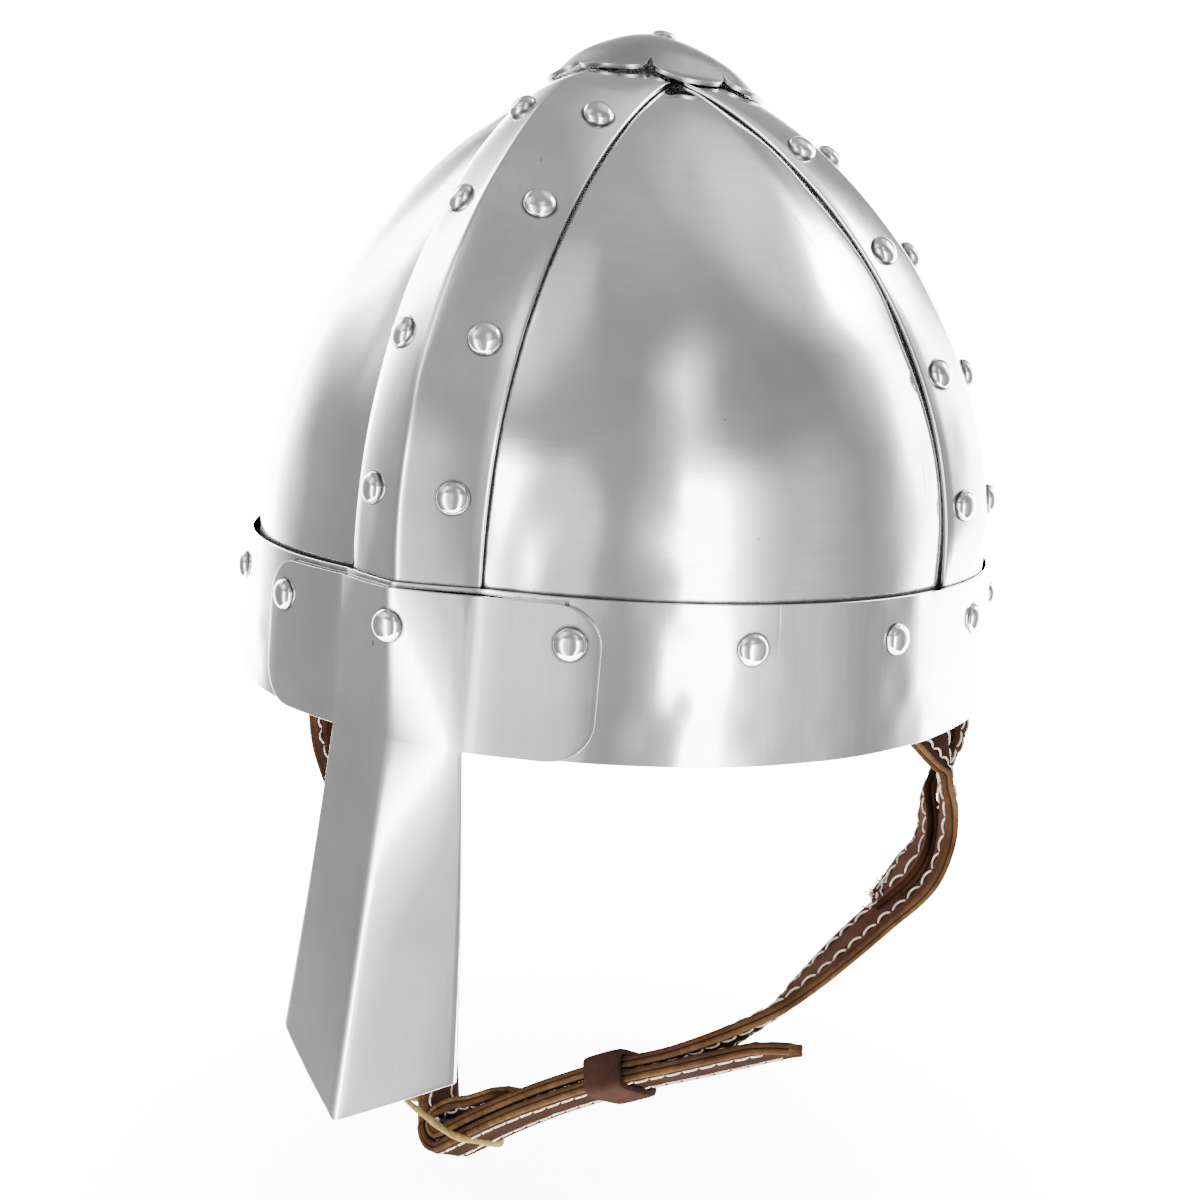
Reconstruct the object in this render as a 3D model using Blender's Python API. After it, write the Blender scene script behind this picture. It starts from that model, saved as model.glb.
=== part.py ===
"""A riveted spangenhelm: four plates, four creased bands, a brow band, a nasal and a leather chin strap.

Metres, +Z up. The face looks along -Y and the wearer's left side is +X. The origin is the
middle of the head opening, in the plane of the brow band's lower rim.
"""

import math

import bmesh
import bpy
from mathutils import Vector

# Dome: the outer face of the four plates
HALF_WIDTH = 0.1045
HALF_LENGTH = 0.1080
CROWN_HEIGHT = 0.1748
BROW_HEIGHT = 0.0390
BROW_FLARE = 0.0020
APEX_FORWARD = 0.0037
SHOULDER_POWER = 2.05
TIP_POWER = 1.44
PLAN_POWER = 2.08

# Sheet metal
SHEET = 0.0012
NASAL_SHEET = 0.0016
GAP = 0.0003
BAND_HALF_WIDTH = 0.0185
FRONT_RIDGE = 0.0085
SIDE_RIDGE = 0.0040
FOOT_HEIGHT = 0.0040
PLATE_MARGIN = 0.0030

# Nasal
NASAL_TOP_HALF_WIDTH = 0.0187
NASAL_END_HALF_WIDTH = 0.0253
NASAL_EDGE_DROP = 0.0800
NASAL_POINT = 0.0120
NASAL_EDGE_SWEEP = 0.0085
NASAL_RIDGE_SWEEP = 0.0174
NASAL_ARM = 0.0470
NASAL_CORNER = 0.0100
NASAL_TOP_MARGIN = 0.0015

# Finial cap
FINIAL_PETALS = 8
FINIAL_RADIUS = 0.0307
FINIAL_NOTCH_RADIUS = 0.0247
FINIAL_SEAT = 0.0020
FINIAL_PEAK = 0.0036
FINIAL_FRONT_LIFT = 0.0018
FINIAL_HOLE_RADIUS = 0.0026
FINIAL_ASIDE = 0.0017
FINIAL_BACK = 0.0040

# Rivets
RIVET_RADIUS = 0.0040
RIVET_HEAD = 0.0024
RIVET_SEAT = 0.0005
RIVET_ROOT = 0.0006
BROW_RIVETS = 16
BROW_RIVET_HEIGHT = 0.0284
FINIAL_SHANK_RADIUS = 0.0022
FINIAL_ROVE_RADIUS = 0.0110
FINIAL_ROVE_DEPTH = 0.0080
FRONT_LEG_ANGLE = 67.5
REAR_LEG_ANGLE = 112.5

# Chin strap
STRAP_WIDTH = 0.0150
STRAP_THICKNESS = 0.0036
STRAP_CHAMFER = 0.0006
STRAP_DROP = 0.1600
STRAP_SEAT = 0.0011
STRAP_LAYER_GAP = 0.0006
CLASP_RADIUS = 0.0015
CLASP_LENGTH = 0.0140
FOLD_ACROSS = -0.0367
FOLD_FORWARD = 0.0240
FOLD_BELOW = 0.1570
BUNDLE_SLOPE = 40.0
BUNDLE_CURL = 14.0
BUNDLE_LENGTH = 0.0960
BUNDLE_ROLL = 32.0
FOLD_END_LENGTH = 0.0290
KEEPER_ALONG = 0.0710
KEEPER_WIDTH = 0.0130
KEEPER_WALL = 0.0018
KEEPER_SLACK = 0.0004
KEEPER_CORNER = 0.0006
TIE_RADIUS = 0.0009
TIE_SKEW = 22.0
TIE_HALF_HEIGHT = 0.0156
TIE_HALF_WIDTH = 0.0122
TIE_ALONG = 0.0015
TIE_LIFT = 0.0012
TIE_SQUARENESS = 5.0

# Mesh steps
BROW_COLUMNS = 72
PLATE_COLUMNS = 8
DOME_ROWS = 12
PLATE_ROWS = 11
DOME_TOP_TURN = 81.0
RIVET_SIDES = 8
SHANK_SIDES = 16
SPAN_STEPS = 2
TIE_STEPS = 28
TIE_SIDES = 6
PETAL_STEPS = 6
NASAL_STEPS = 6

SIDE_NAMES = ["front", "left", "back", "right"]

# Crease height over the dome: share of the crown height, share of the front ridge, share of the side ridge
RIDGE_ROWS = [
    (0.00, 0.30, 0.00),
    (0.222, 0.80, 0.00),
    (0.31, 0.90, 1.00),
    (0.52, 1.00, 0.90),
    (0.70, 0.95, 0.75),
    (0.85, 0.84, 0.45),
    (0.90, 0.72, 0.24),
    (0.92, 0.52, 0.15),
    (0.944, 0.22, 0.12),
    (1.00, 0.08, 0.05),
]

# Rivet pairs up a band, as shares of the crown height: on the front and back bands, on the side bands,
# then as shares of the band's half width: out from the crease, and the front pairs' shift to the left
BAND_RIVET_ROWS = [
    (0.338, 0.340, 0.60, 0.02),
    (0.541, 0.527, 0.60, 0.02),
    (0.723, 0.700, 0.57, 0.08),
    (0.860, 0.846, 0.55, 0.13),
]

# Rivet head: share of its radius, share of its height
RIVET_ROWS = [(1.0, 0.0), (0.97, 0.30), (0.70, 0.78), (0.32, 0.98)]

# Strap sections: across as a share of the half width, forward as a share of the half length,
# below the rim as a share of the strap's drop, then the inner face's bearing and tilt in degrees
FRONT_LEG_ROWS = [
    (0.995, 0.060, 0.040, 196, 4),
    (1.012, 0.020, 0.100, 204, 8),
    (1.022, 0.000, 0.160, 208, 14),
    (1.015, 0.000, 0.225, 212, 24),
    (0.980, 0.020, 0.295, 215, 34),
    (0.893, 0.060, 0.365, 217, 42),
    (0.812, 0.110, 0.430, 214, 46),
    (0.728, 0.170, 0.500, 196, 52),
    (0.640, 0.215, 0.565, 160, 56),
]
REAR_LEG_ROWS = [
    (0.971, -0.215, 0.040, 186, 0),
    (0.966, -0.175, 0.095, 190, 4),
    (0.937, -0.110, 0.160, 193, 8),
    (0.928, -0.052, 0.225, 198, 15),
]
RIGHT_REST_ROWS = [
    (-0.800, 0.130, 0.450, -16, 30),
    (-0.670, 0.185, 0.560, -12, 30),
    (-0.540, 0.195, 0.670, -8, 34),
    (-0.450, 0.195, 0.790, -4, 30),
]
TIP_ROWS = [
    (0.640, 0.245, 0.628, 126, 50, 1.00),
    (0.710, 0.262, 0.603, 124, 54, 0.80),
    (0.755, 0.270, 0.592, 124, 56, 0.50),
]

# A leg flat on the wall above the rim: degrees from its rivet towards the ear, share of the brow height
WALL_ROWS = [(0.0, 0.87), (2.5, 0.56), (7.5, 0.28)]

# Stations along the doubled strap, as shares of its length, from its far end to the fold
BUNDLE_SHARES = [1.0, 0.74, 0.47, 0.23, 0.08]

# Turns round the clasp, in degrees: the left strap's fold, then the right strap's way past it
FOLD_TURNS = [270.0, 225.0, 180.0, 135.0, 90.0]
PAST_FOLD_TURNS = [140.0, 180.0, 220.0, 250.0, 270.0]

STEEL = (0.62, 0.63, 0.64, 1.0)
LEATHER = (0.115, 0.055, 0.038, 1.0)
RAWHIDE = (0.62, 0.50, 0.26, 1.0)


def clear_scene():
    for item in list(bpy.data.objects):
        bpy.data.objects.remove(item, do_unlink=True)


def make_material(name, colour, metallic, roughness):
    material = bpy.data.materials.new(name)
    material.use_nodes = True
    shader = material.node_tree.nodes["Principled BSDF"]
    shader.inputs["Base Color"].default_value = colour
    shader.inputs["Metallic"].default_value = metallic
    shader.inputs["Roughness"].default_value = roughness
    return material


def add_object(name, mesh_builder, material):
    """Finish a bmesh as a named object with outward faces and its own material."""
    bmesh.ops.recalc_face_normals(mesh_builder, faces=mesh_builder.faces)
    mesh = bpy.data.meshes.new(name)
    mesh_builder.to_mesh(mesh)
    mesh_builder.free()
    mesh.shade_smooth()
    mesh.set_sharp_from_angle(angle=math.radians(30))
    mesh.materials.append(material)
    item = bpy.data.objects.new(name, mesh)
    bpy.context.scene.collection.objects.link(item)
    return item


def between(rows, column, share):
    """Read one column of a table at a share of its first column."""
    for low, high in zip(rows, rows[1:]):
        if share <= high[0]:
            part = (share - low[0]) / (high[0] - low[0])
            return low[column] + (high[column] - low[column]) * max(part, 0.0)
    return rows[-1][column]


def dome_share(height):
    """Plan size at a height as a share of the size at the brow."""
    share = (height - BROW_HEIGHT) / (CROWN_HEIGHT - BROW_HEIGHT)
    share = min(max(share, 0.0), 0.9999)
    return (1.0 - share**SHOULDER_POWER) ** (1.0 / TIP_POWER)


def plan_sizes(height):
    """Half width, half length and the forward shift of the middle at a height."""
    share = dome_share(height)
    flare = BROW_FLARE * max(0.0, 1.0 - height / BROW_HEIGHT)
    return HALF_WIDTH * share + flare, HALF_LENGTH * share + flare, APEX_FORWARD * (1.0 - share)


def push_out(x, y, height, offset):
    """Move a point of the dome along the dome's normal."""
    half_x, half_y, shift = plan_sizes(height)
    step = 0.0002
    low_x, low_y, low_shift = plan_sizes(height - step)
    high_x, high_y, high_shift = plan_sizes(height + step)
    share_x = x / half_x
    share_y = (y + shift) / half_y
    slope_x = math.copysign(abs(share_x) ** (PLAN_POWER - 1.0), share_x) / half_x
    slope_y = math.copysign(abs(share_y) ** (PLAN_POWER - 1.0), share_y) / half_y
    shrink = (low_x + low_y - high_x - high_y) / (2.0 * step * (half_x + half_y))
    normal = Vector((slope_x, slope_y, max(shrink, 0.0))).normalized()
    return Vector((x, y, height)) + normal * offset


def crease(side, lateral, height):
    """How far a band's middle ridge stands off the dome at this place."""
    column = 1 if side == 0 else 2
    ridge = FRONT_RIDGE if side == 0 else SIDE_RIDGE
    rise = ridge * between(RIDGE_ROWS, column, height / CROWN_HEIGHT)
    return rise * max(0.0, 1.0 - abs(lateral) / BAND_HALF_WIDTH)


def side_axes(side):
    """Outward and lateral directions of a side, in plan."""
    turn = math.radians(90.0 * side)
    return (math.sin(turn), -math.cos(turn)), (math.cos(turn), math.sin(turn))


def side_point(side, lateral, height, offset):
    """A point over a side's middle line, lateral metres along it, with that side's crease."""
    half_x, half_y, shift = plan_sizes(height)
    out, along = side_axes(side)
    reach, spread = (half_y, half_x) if side % 2 == 0 else (half_x, half_y)
    share = min(abs(lateral) / spread, 1.0)
    depth = reach * (1.0 - share**PLAN_POWER) ** (1.0 / PLAN_POWER)
    x = out[0] * depth + along[0] * lateral
    y = out[1] * depth + along[1] * lateral - shift
    return push_out(x, y, height, offset + crease(side, lateral, height))


def ring_point(angle, height, offset):
    """A point over the dome at an angle from the front, in degrees, with the front crease."""
    half_x, half_y, shift = plan_sizes(height)
    sine = math.sin(math.radians(angle))
    cosine = math.cos(math.radians(angle))
    scale = (abs(sine) ** PLAN_POWER + abs(cosine) ** PLAN_POWER) ** (-1.0 / PLAN_POWER)
    x = half_x * sine * scale
    y = -half_y * cosine * scale - shift
    rise = crease(0, x, height) if cosine > 0.0 else 0.0
    return push_out(x, y, height, offset + rise)


def row_height(row):
    """Heights of the mesh rows: the foot, half the brow, the brow line, then steps round the dome."""
    if row < 0:
        return 0.5 * BROW_HEIGHT if row == -1 else FOOT_HEIGHT
    turn = math.radians(DOME_TOP_TURN * row / DOME_ROWS)
    return BROW_HEIGHT + (CROWN_HEIGHT - BROW_HEIGHT) * math.sin(turn)


def sheet_solid(cells, place, inner, outer):
    """Thicken a patch of cells, each a ring of keys, into one closed solid."""
    builder = bmesh.new()
    points = {}

    def point(key, offset):
        if (key, offset) not in points:
            points[key, offset] = builder.verts.new(place(key, offset))
        return points[key, offset]

    edges = {}
    for cell in cells:
        builder.faces.new([point(key, outer) for key in cell])
        builder.faces.new([point(key, inner) for key in cell[:1] + cell[:0:-1]])
        for start, end in zip(cell, cell[1:] + cell[:1]):
            edges[start, end] = True
    for start, end in edges:
        if (end, start) not in edges:
            ring = [point(end, outer), point(start, outer), point(start, inner), point(end, inner)]
            builder.faces.new(ring)
    return builder


def grid_cells(rows, columns):
    """Cells of a grid of keys (row, column), given as lists of row and column marks."""
    cells = []
    for low, high in zip(rows, rows[1:]):
        for left, right in zip(columns, columns[1:]):
            cells.append([(low, left), (low, right), (high, right), (high, left)])
    return cells


def build_plate(index, material):
    """One of the four plates, between the middle lines of two bands."""

    def place(key, offset):
        row, column = key
        height = row_height(row)
        half_x, half_y, shift = plan_sizes(height)
        margin = math.degrees(math.asin(PLATE_MARGIN / min(half_x, half_y)))
        start = 90.0 * index + margin
        angle = start + (90.0 - 2.0 * margin) * column / PLATE_COLUMNS
        sine = math.sin(math.radians(angle))
        cosine = math.cos(math.radians(angle))
        scale = (abs(sine) ** PLAN_POWER + abs(cosine) ** PLAN_POWER) ** (-1.0 / PLAN_POWER)
        return push_out(half_x * sine * scale, -half_y * cosine * scale - shift, height, offset)

    rows = list(range(-2, PLATE_ROWS + 1))
    cells = grid_cells(rows, list(range(PLATE_COLUMNS + 1)))
    name = "plate_%s_%s" % (SIDE_NAMES[index], SIDE_NAMES[(index + 1) % 4])
    return add_object(name, sheet_solid(cells, place, -SHEET, 0.0), material)


def build_band(side, material):
    """A creased band from inside the brow band up to the finial, mitred to its neighbours at the top."""

    def place(key, offset):
        row, share = key
        height = row_height(row)
        half_x, half_y, _ = plan_sizes(height)
        mitre = math.sqrt(0.5) * min(half_x, half_y) - GAP
        half = min(BAND_HALF_WIDTH, mitre)
        return side_point(side, half * share, height, offset)

    rows = list(range(-2, DOME_ROWS + 1))
    cells = grid_cells(rows, [-1.0, -0.5, 0.0, 0.5, 1.0])
    name = "band_" + SIDE_NAMES[side]
    return add_object(name, sheet_solid(cells, place, GAP, GAP + SHEET), material)


def brow_offsets():
    inner = GAP + SHEET + GAP
    return inner, inner + SHEET


def nasal_offsets():
    inner = brow_offsets()[1] + GAP
    return inner, inner + NASAL_SHEET


def build_brow_band(material):
    """The ring round the brow, creased at the front over the front band."""

    def place(key, offset):
        height, column = key
        return ring_point(360.0 * column / BROW_COLUMNS, height, offset)

    rows = [0.0, 0.5 * BROW_HEIGHT, BROW_HEIGHT]
    cells = []
    for low, high in zip(rows, rows[1:]):
        for column in range(BROW_COLUMNS):
            after = (column + 1) % BROW_COLUMNS
            cells.append([(low, column), (low, after), (high, after), (high, column)])
    return add_object("brow_band", sheet_solid(cells, place, *brow_offsets()), material)


def nasal_rows():
    """Heights of the arm's rows with its half reach at each, rounded at the corners."""
    top = BROW_HEIGHT - NASAL_TOP_MARGIN
    rows = []
    for turn in (0.0, 30.0, 60.0, 90.0):
        rise = NASAL_CORNER * (1.0 - math.cos(math.radians(turn)))
        reach = NASAL_ARM - NASAL_CORNER * (1.0 - math.sin(math.radians(turn)))
        rows.append((rise, reach))
    return rows + [(top - rise, reach) for rise, reach in reversed(rows)]


def build_nasal(material):
    """The T-shaped nasal: two arms round the brow and a creased bar that widens to a point."""
    arm_rows = nasal_rows()

    def place(key, offset):
        kind, row, share = key
        if kind == "arm":
            height, reach = arm_rows[row]
            lateral = NASAL_TOP_HALF_WIDTH * share
            if abs(share) > 1.0:
                extra = (reach - NASAL_TOP_HALF_WIDTH) * (abs(share) - 1.0)
                lateral = math.copysign(NASAL_TOP_HALF_WIDTH + extra, share)
            return side_point(0, lateral, height, offset)
        part = row / NASAL_STEPS
        middle = 1.0 - abs(share)
        start = side_point(0, NASAL_TOP_HALF_WIDTH * share, 0.0, offset)
        drop = (NASAL_EDGE_DROP + NASAL_POINT * middle) * part
        sweep = (NASAL_EDGE_SWEEP + (NASAL_RIDGE_SWEEP - NASAL_EDGE_SWEEP) * middle) * part
        widen = (NASAL_END_HALF_WIDTH - NASAL_TOP_HALF_WIDTH) * share * part
        return start + Vector((widen, -sweep, -drop))

    def key(kind, row, share):
        return ("arm", 0, share) if kind == "bar" and row == 0 else (kind, row, share)

    bar_shares = [-1.0, -0.5, 0.0, 0.5, 1.0]
    arm_shares = [-2.0, -1.67, -1.33] + bar_shares + [1.33, 1.67, 2.0]
    cells = []
    for row in range(len(arm_rows) - 1):
        for left, right in zip(arm_shares, arm_shares[1:]):
            cells.append(
                [("arm", row, left), ("arm", row, right), ("arm", row + 1, right), ("arm", row + 1, left)]
            )
    for row in range(NASAL_STEPS):
        for left, right in zip(bar_shares, bar_shares[1:]):
            ring = [(row + 1, left), (row + 1, right), (row, right), (row, left)]
            cells.append([key("bar", *mark) for mark in ring])
    return add_object("nasal", sheet_solid(cells, place, *nasal_offsets()), material)


def dome_height(x, y):
    """Height of the dome over a place in plan."""
    share = 0.0
    for _ in range(3):
        share_x = abs(x) / HALF_WIDTH
        share_y = abs(y + APEX_FORWARD * (1.0 - share)) / HALF_LENGTH
        share = (share_x**PLAN_POWER + share_y**PLAN_POWER) ** (1.0 / PLAN_POWER)
    rise = (1.0 - min(share, 1.0) ** TIP_POWER) ** (1.0 / SHOULDER_POWER)
    return BROW_HEIGHT + (CROWN_HEIGHT - BROW_HEIGHT) * min(rise, 0.9999)


def finial_point(radius, angle, offset):
    """A point of the cap round its hole: peaked there, and lifted at the front over the tall ridge."""
    x = FINIAL_ASIDE + radius * math.sin(angle)
    y = FINIAL_BACK - APEX_FORWARD - radius * math.cos(angle)
    share = radius / FINIAL_RADIUS
    lift = FINIAL_FRONT_LIFT * 0.5 * (1.0 + math.cos(angle)) * share
    peak = FINIAL_PEAK * (1.0 - share * share)
    return push_out(x, y, dome_height(x, y), FINIAL_SEAT + lift + peak + offset)


def build_finial(material):
    """The scalloped cap that lies over the tips of the bands."""
    columns = FINIAL_PETALS * PETAL_STEPS
    ring_shares = [0.0, 0.25, 0.5, 0.75, 1.0]

    def place(key, offset):
        ring, column = key
        across = 2.0 * (column % PETAL_STEPS) / PETAL_STEPS - 1.0
        bulge = math.sqrt(max(0.0, 1.0 - across * across))
        edge = FINIAL_NOTCH_RADIUS + (FINIAL_RADIUS - FINIAL_NOTCH_RADIUS) * bulge
        angle = math.radians(360.0 * column / columns - 180.0 / FINIAL_PETALS)
        share = ring_shares[ring]
        return finial_point(FINIAL_HOLE_RADIUS * (1.0 - share) + edge * share, angle, offset)

    cells = []
    for ring in range(len(ring_shares) - 1):
        for column in range(columns):
            after = (column + 1) % columns
            cells.append([(ring + 1, column), (ring + 1, after), (ring, after), (ring, column)])
    return add_object("finial", sheet_solid(cells, place, 0.0, SHEET), material)


def turned_solid(rows, sides):
    """Turn a profile of (radius, height) rows, bottom to top, into a closed solid about Z."""
    builder = bmesh.new()
    rings = []
    for radius, height in rows:
        ring = []
        for step in range(sides):
            turn = 2.0 * math.pi * step / sides
            ring.append(builder.verts.new((radius * math.cos(turn), radius * math.sin(turn), height)))
        rings.append(ring)
    for low, high in zip(rings, rings[1:]):
        for step in range(sides):
            after = (step + 1) % sides
            builder.faces.new([low[step], low[after], high[after], high[step]])
    builder.faces.new(list(reversed(rings[0])))
    builder.faces.new(rings[-1])
    return builder


def rivet_head(name, material, root):
    """A domed head on the plane Z = 0, with a plain root below it that many metres deep."""
    rows = [(RIVET_RADIUS * radius, RIVET_HEAD * height) for radius, height in RIVET_ROWS]
    if root > 0.0:
        rows = [(RIVET_RADIUS, -root)] + rows
    return add_object(name, turned_solid(rows, RIVET_SIDES), material)


def seat_on(item, place):
    """Stand an object on a surface given as a function of two steps, by its point and normal."""
    step = 0.001
    point = place(0.0, 0.0)
    along = place(step, 0.0) - place(-step, 0.0)
    up = place(0.0, step) - place(0.0, -step)
    normal = along.cross(up).normalized()
    item.rotation_mode = "QUATERNION"
    item.rotation_quaternion = normal.to_track_quat("Z", "Y")
    item.location = point
    return item


def build_band_rivets(material):
    """Four pairs of domed rivets up each band."""
    for side in range(4):
        for row, (front_share, side_share, out, shift) in enumerate(BAND_RIVET_ROWS, 1):
            for hand, sign in (("a", -1.0), ("b", 1.0)):
                height = (front_share if side % 2 == 0 else side_share) * CROWN_HEIGHT
                lateral = BAND_HALF_WIDTH * (sign * out + (shift if side == 0 else 0.0))

                def place(right, up):
                    offset = GAP + SHEET + RIVET_SEAT
                    return side_point(side, lateral + right, height + up, offset)

                name = "rivet_%s_%d%s" % (SIDE_NAMES[side], row, hand)
                seat_on(rivet_head(name, material, 0.0), place)


def join_brow_rivets(brow_band, nasal, material):
    """Peened rivets round the brow: those on the nasal's arms are one with it, the rest with the band."""
    for owner in (brow_band, nasal):
        heads = bpy.data.collections.new(owner.name + "_rivets")
        bpy.context.scene.collection.children.link(heads)
        for step in range(BROW_RIVETS):
            angle = 360.0 * step / BROW_RIVETS
            on_nasal = min(angle, 360.0 - angle) < 30.0
            if on_nasal != (owner is nasal):
                continue
            offset = nasal_offsets()[1] if on_nasal else brow_offsets()[1]

            def place(right, up):
                turn = math.degrees(right / HALF_WIDTH)
                return ring_point(angle + turn, BROW_RIVET_HEIGHT + up, offset)

            head = seat_on(rivet_head("head_%s_%d" % (owner.name, step), material, RIVET_ROOT), place)
            if angle == 0.0:
                head.rotation_quaternion = Vector((0.0, -1.0, 0.0)).to_track_quat("Z", "Y")
            for holder in list(head.users_collection):
                holder.objects.unlink(head)
            heads.objects.link(head)
            head.hide_render = True
            head.display_type = "WIRE"
        join = owner.modifiers.new("rivets", "BOOLEAN")
        join.operation = "UNION"
        join.operand_type = "COLLECTION"
        join.collection = heads
        join.solver = "EXACT"


def build_finial_rivet(material):
    """The finial's rivet: domed head, shank, and a broad rove under the tips of the bands."""

    def place(right, up):
        return finial_point(math.hypot(right, up), math.atan2(right, -up), SHEET + RIVET_SEAT)

    rove_top = CROWN_HEIGHT - FINIAL_ROVE_DEPTH - place(0.0, 0.0).z
    rows = [
        (FINIAL_ROVE_RADIUS * 0.9, rove_top - SHEET),
        (FINIAL_ROVE_RADIUS, rove_top),
        (FINIAL_SHANK_RADIUS, rove_top),
        (FINIAL_SHANK_RADIUS, 0.0),
    ]
    rows += [(RIVET_RADIUS * radius, RIVET_HEAD * height) for radius, height in RIVET_ROWS]
    return seat_on(add_object("finial_rivet", turned_solid(rows, SHANK_SIDES), material), place)


def facing(bearing, tilt):
    """Unit vector from a bearing and a tilt, in degrees."""
    flat = math.cos(math.radians(tilt))
    bearing = math.radians(bearing)
    return Vector((flat * math.cos(bearing), flat * math.sin(bearing), math.sin(math.radians(tilt))))


def route_rows(rows, mirror=1.0):
    """Turn a table of strap sections into (point, inner face, width share) rows."""
    found = []
    for across, forward, below, bearing, tilt, *share in rows:
        point = Vector((mirror * across * HALF_WIDTH, -forward * HALF_LENGTH, -below * STRAP_DROP))
        inward = facing(bearing, tilt)
        inward.x *= mirror
        found.append((point, inward, share[0] if share else 1.0))
    return found


def wall_rows(rivet_angle, turn_way):
    """Strap sections flat against the inside of the plates, from the leg's rivet towards the ear."""
    found = []
    for turn, share in WALL_ROWS:
        angle = rivet_angle + turn * turn_way
        inset = -(SHEET + STRAP_SEAT + 0.5 * STRAP_THICKNESS)
        outside = ring_point(angle, share * BROW_HEIGHT, 0.0)
        point = ring_point(angle, share * BROW_HEIGHT, inset)
        found.append((point, (point - outside).normalized(), 1.0))
    return found


def curve_between(rows, spot):
    """A smooth curve through rows, read at a spot counted in rows."""
    last = len(rows) - 1
    index = min(int(spot), last - 1)
    part = spot - index
    before = rows[max(index - 1, 0)]
    start = rows[index]
    end = rows[index + 1]
    after = rows[min(index + 2, last)]
    out = []
    for a, b, c, d in zip(before, start, end, after):
        bend = (c - a) * part + (2.0 * a - 5.0 * b + 4.0 * c - d) * part**2
        bend = bend + (3.0 * b - a - 3.0 * c + d) * part**3
        out.append(b + bend * 0.5)
    return out


def ribbon_solid(rows, width, thickness):
    """A flat strap through rows of (point, inner face, width share), with chamfered corners."""
    count = (len(rows) - 1) * SPAN_STEPS
    sections = [curve_between(rows, step / SPAN_STEPS) for step in range(count + 1)]
    builder = bmesh.new()
    rings = []
    for step, (point, inward, share) in enumerate(sections):
        ahead = sections[min(step + 1, count)][0] - sections[max(step - 1, 0)][0]
        ahead.normalize()
        wide = inward.cross(ahead).normalized()
        normal = ahead.cross(wide).normalized()
        half = 0.5 * width * share
        deep = 0.5 * thickness
        cut = min(STRAP_CHAMFER, 0.4 * half)
        corners = [
            (half - cut, deep), (half, deep - cut), (half, cut - deep), (half - cut, -deep),
            (cut - half, -deep), (-half, cut - deep), (-half, deep - cut), (cut - half, deep),
        ]
        rings.append([builder.verts.new(point + wide * a + normal * b) for a, b in corners])
    sides = len(rings[0])
    for low, high in zip(rings, rings[1:]):
        for side in range(sides):
            after = (side + 1) % sides
            builder.faces.new([low[side], low[after], high[after], high[side]])
    builder.faces.new(rings[0])
    builder.faces.new(list(reversed(rings[-1])))
    return builder


def bundle_frame(along_by):
    """Middle point of the doubled strap at a length along it, with its along, layer and width directions."""
    slope = math.radians(BUNDLE_SLOPE)
    roll = math.radians(BUNDLE_ROLL)
    turn = math.radians(BUNDLE_CURL) * max(along_by, 0.0) / BUNDLE_LENGTH
    heading = slope - turn
    mean = slope - 0.5 * turn
    middle = Vector((FOLD_ACROSS, -FOLD_FORWARD, -FOLD_BELOW))
    middle += Vector((math.cos(mean), 0.0, math.sin(mean))) * along_by
    rise = Vector((-math.sin(heading), 0.0, math.cos(heading)))
    forward = Vector((0.0, -1.0, 0.0))
    layers = rise * math.cos(roll) - forward * math.sin(roll)
    wide = forward * math.cos(roll) + rise * math.sin(roll)
    return middle, layers, wide


def bundle_point(along_by, layer_by, wide_by=0.0):
    """A point of the doubled strap, from the middle of the fold round the clasp."""
    middle, layers, wide = bundle_frame(along_by)
    return middle + layers * layer_by + wide * wide_by


def fold_row(turn, radius):
    """A strap section on an arc round the clasp, with its inner face towards the clasp."""
    turn = math.radians(turn)
    point = bundle_point(radius * math.cos(turn), radius * math.sin(turn))
    return (point, (bundle_point(0.0, 0.0) - point).normalized(), 1.0)


def fold_radius():
    """Middle of the left strap's leather where it wraps the clasp."""
    return CLASP_RADIUS + GAP + 0.5 * STRAP_THICKNESS


def outer_radius():
    """Middle of the right strap's leather where it passes round the left strap's fold."""
    return fold_radius() + STRAP_THICKNESS + STRAP_LAYER_GAP


def straight_row(along_by, layer_by, up=1.0):
    """A strap section in the straight of the doubled strap."""
    return (bundle_point(along_by, layer_by), bundle_frame(along_by)[1] * up, 1.0)


def build_left_strap(material):
    """The left strap: front leg, run to the chin, through the keeper, and back over the clasp."""
    inner = fold_radius()
    rows = wall_rows(FRONT_LEG_ANGLE, 1.0)
    rows += route_rows(FRONT_LEG_ROWS)
    rows += [straight_row(share * BUNDLE_LENGTH, -inner) for share in BUNDLE_SHARES]
    rows += [fold_row(turn, inner) for turn in FOLD_TURNS]
    rows += [straight_row(share * FOLD_END_LENGTH, inner, -1.0) for share in (0.35, 1.0)]
    return add_object("chin_strap_left", ribbon_solid(rows, STRAP_WIDTH, STRAP_THICKNESS), material)


def rear_leg_rows(mirror):
    """A rear leg: from its brow rivet down to its seat on the inner face of the strap."""
    rows = wall_rows(REAR_LEG_ANGLE * mirror, -mirror)
    rows += route_rows(REAR_LEG_ROWS, mirror)
    for point, inward, share in route_rows(FRONT_LEG_ROWS[4:6], mirror):
        rows.append((point + inward * (STRAP_THICKNESS + 2.0 * STRAP_LAYER_GAP), inward, share))
    return rows


def build_rear_leg(name, mirror, material):
    return add_object(name, ribbon_solid(rear_leg_rows(mirror), STRAP_WIDTH, STRAP_THICKNESS), material)


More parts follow.
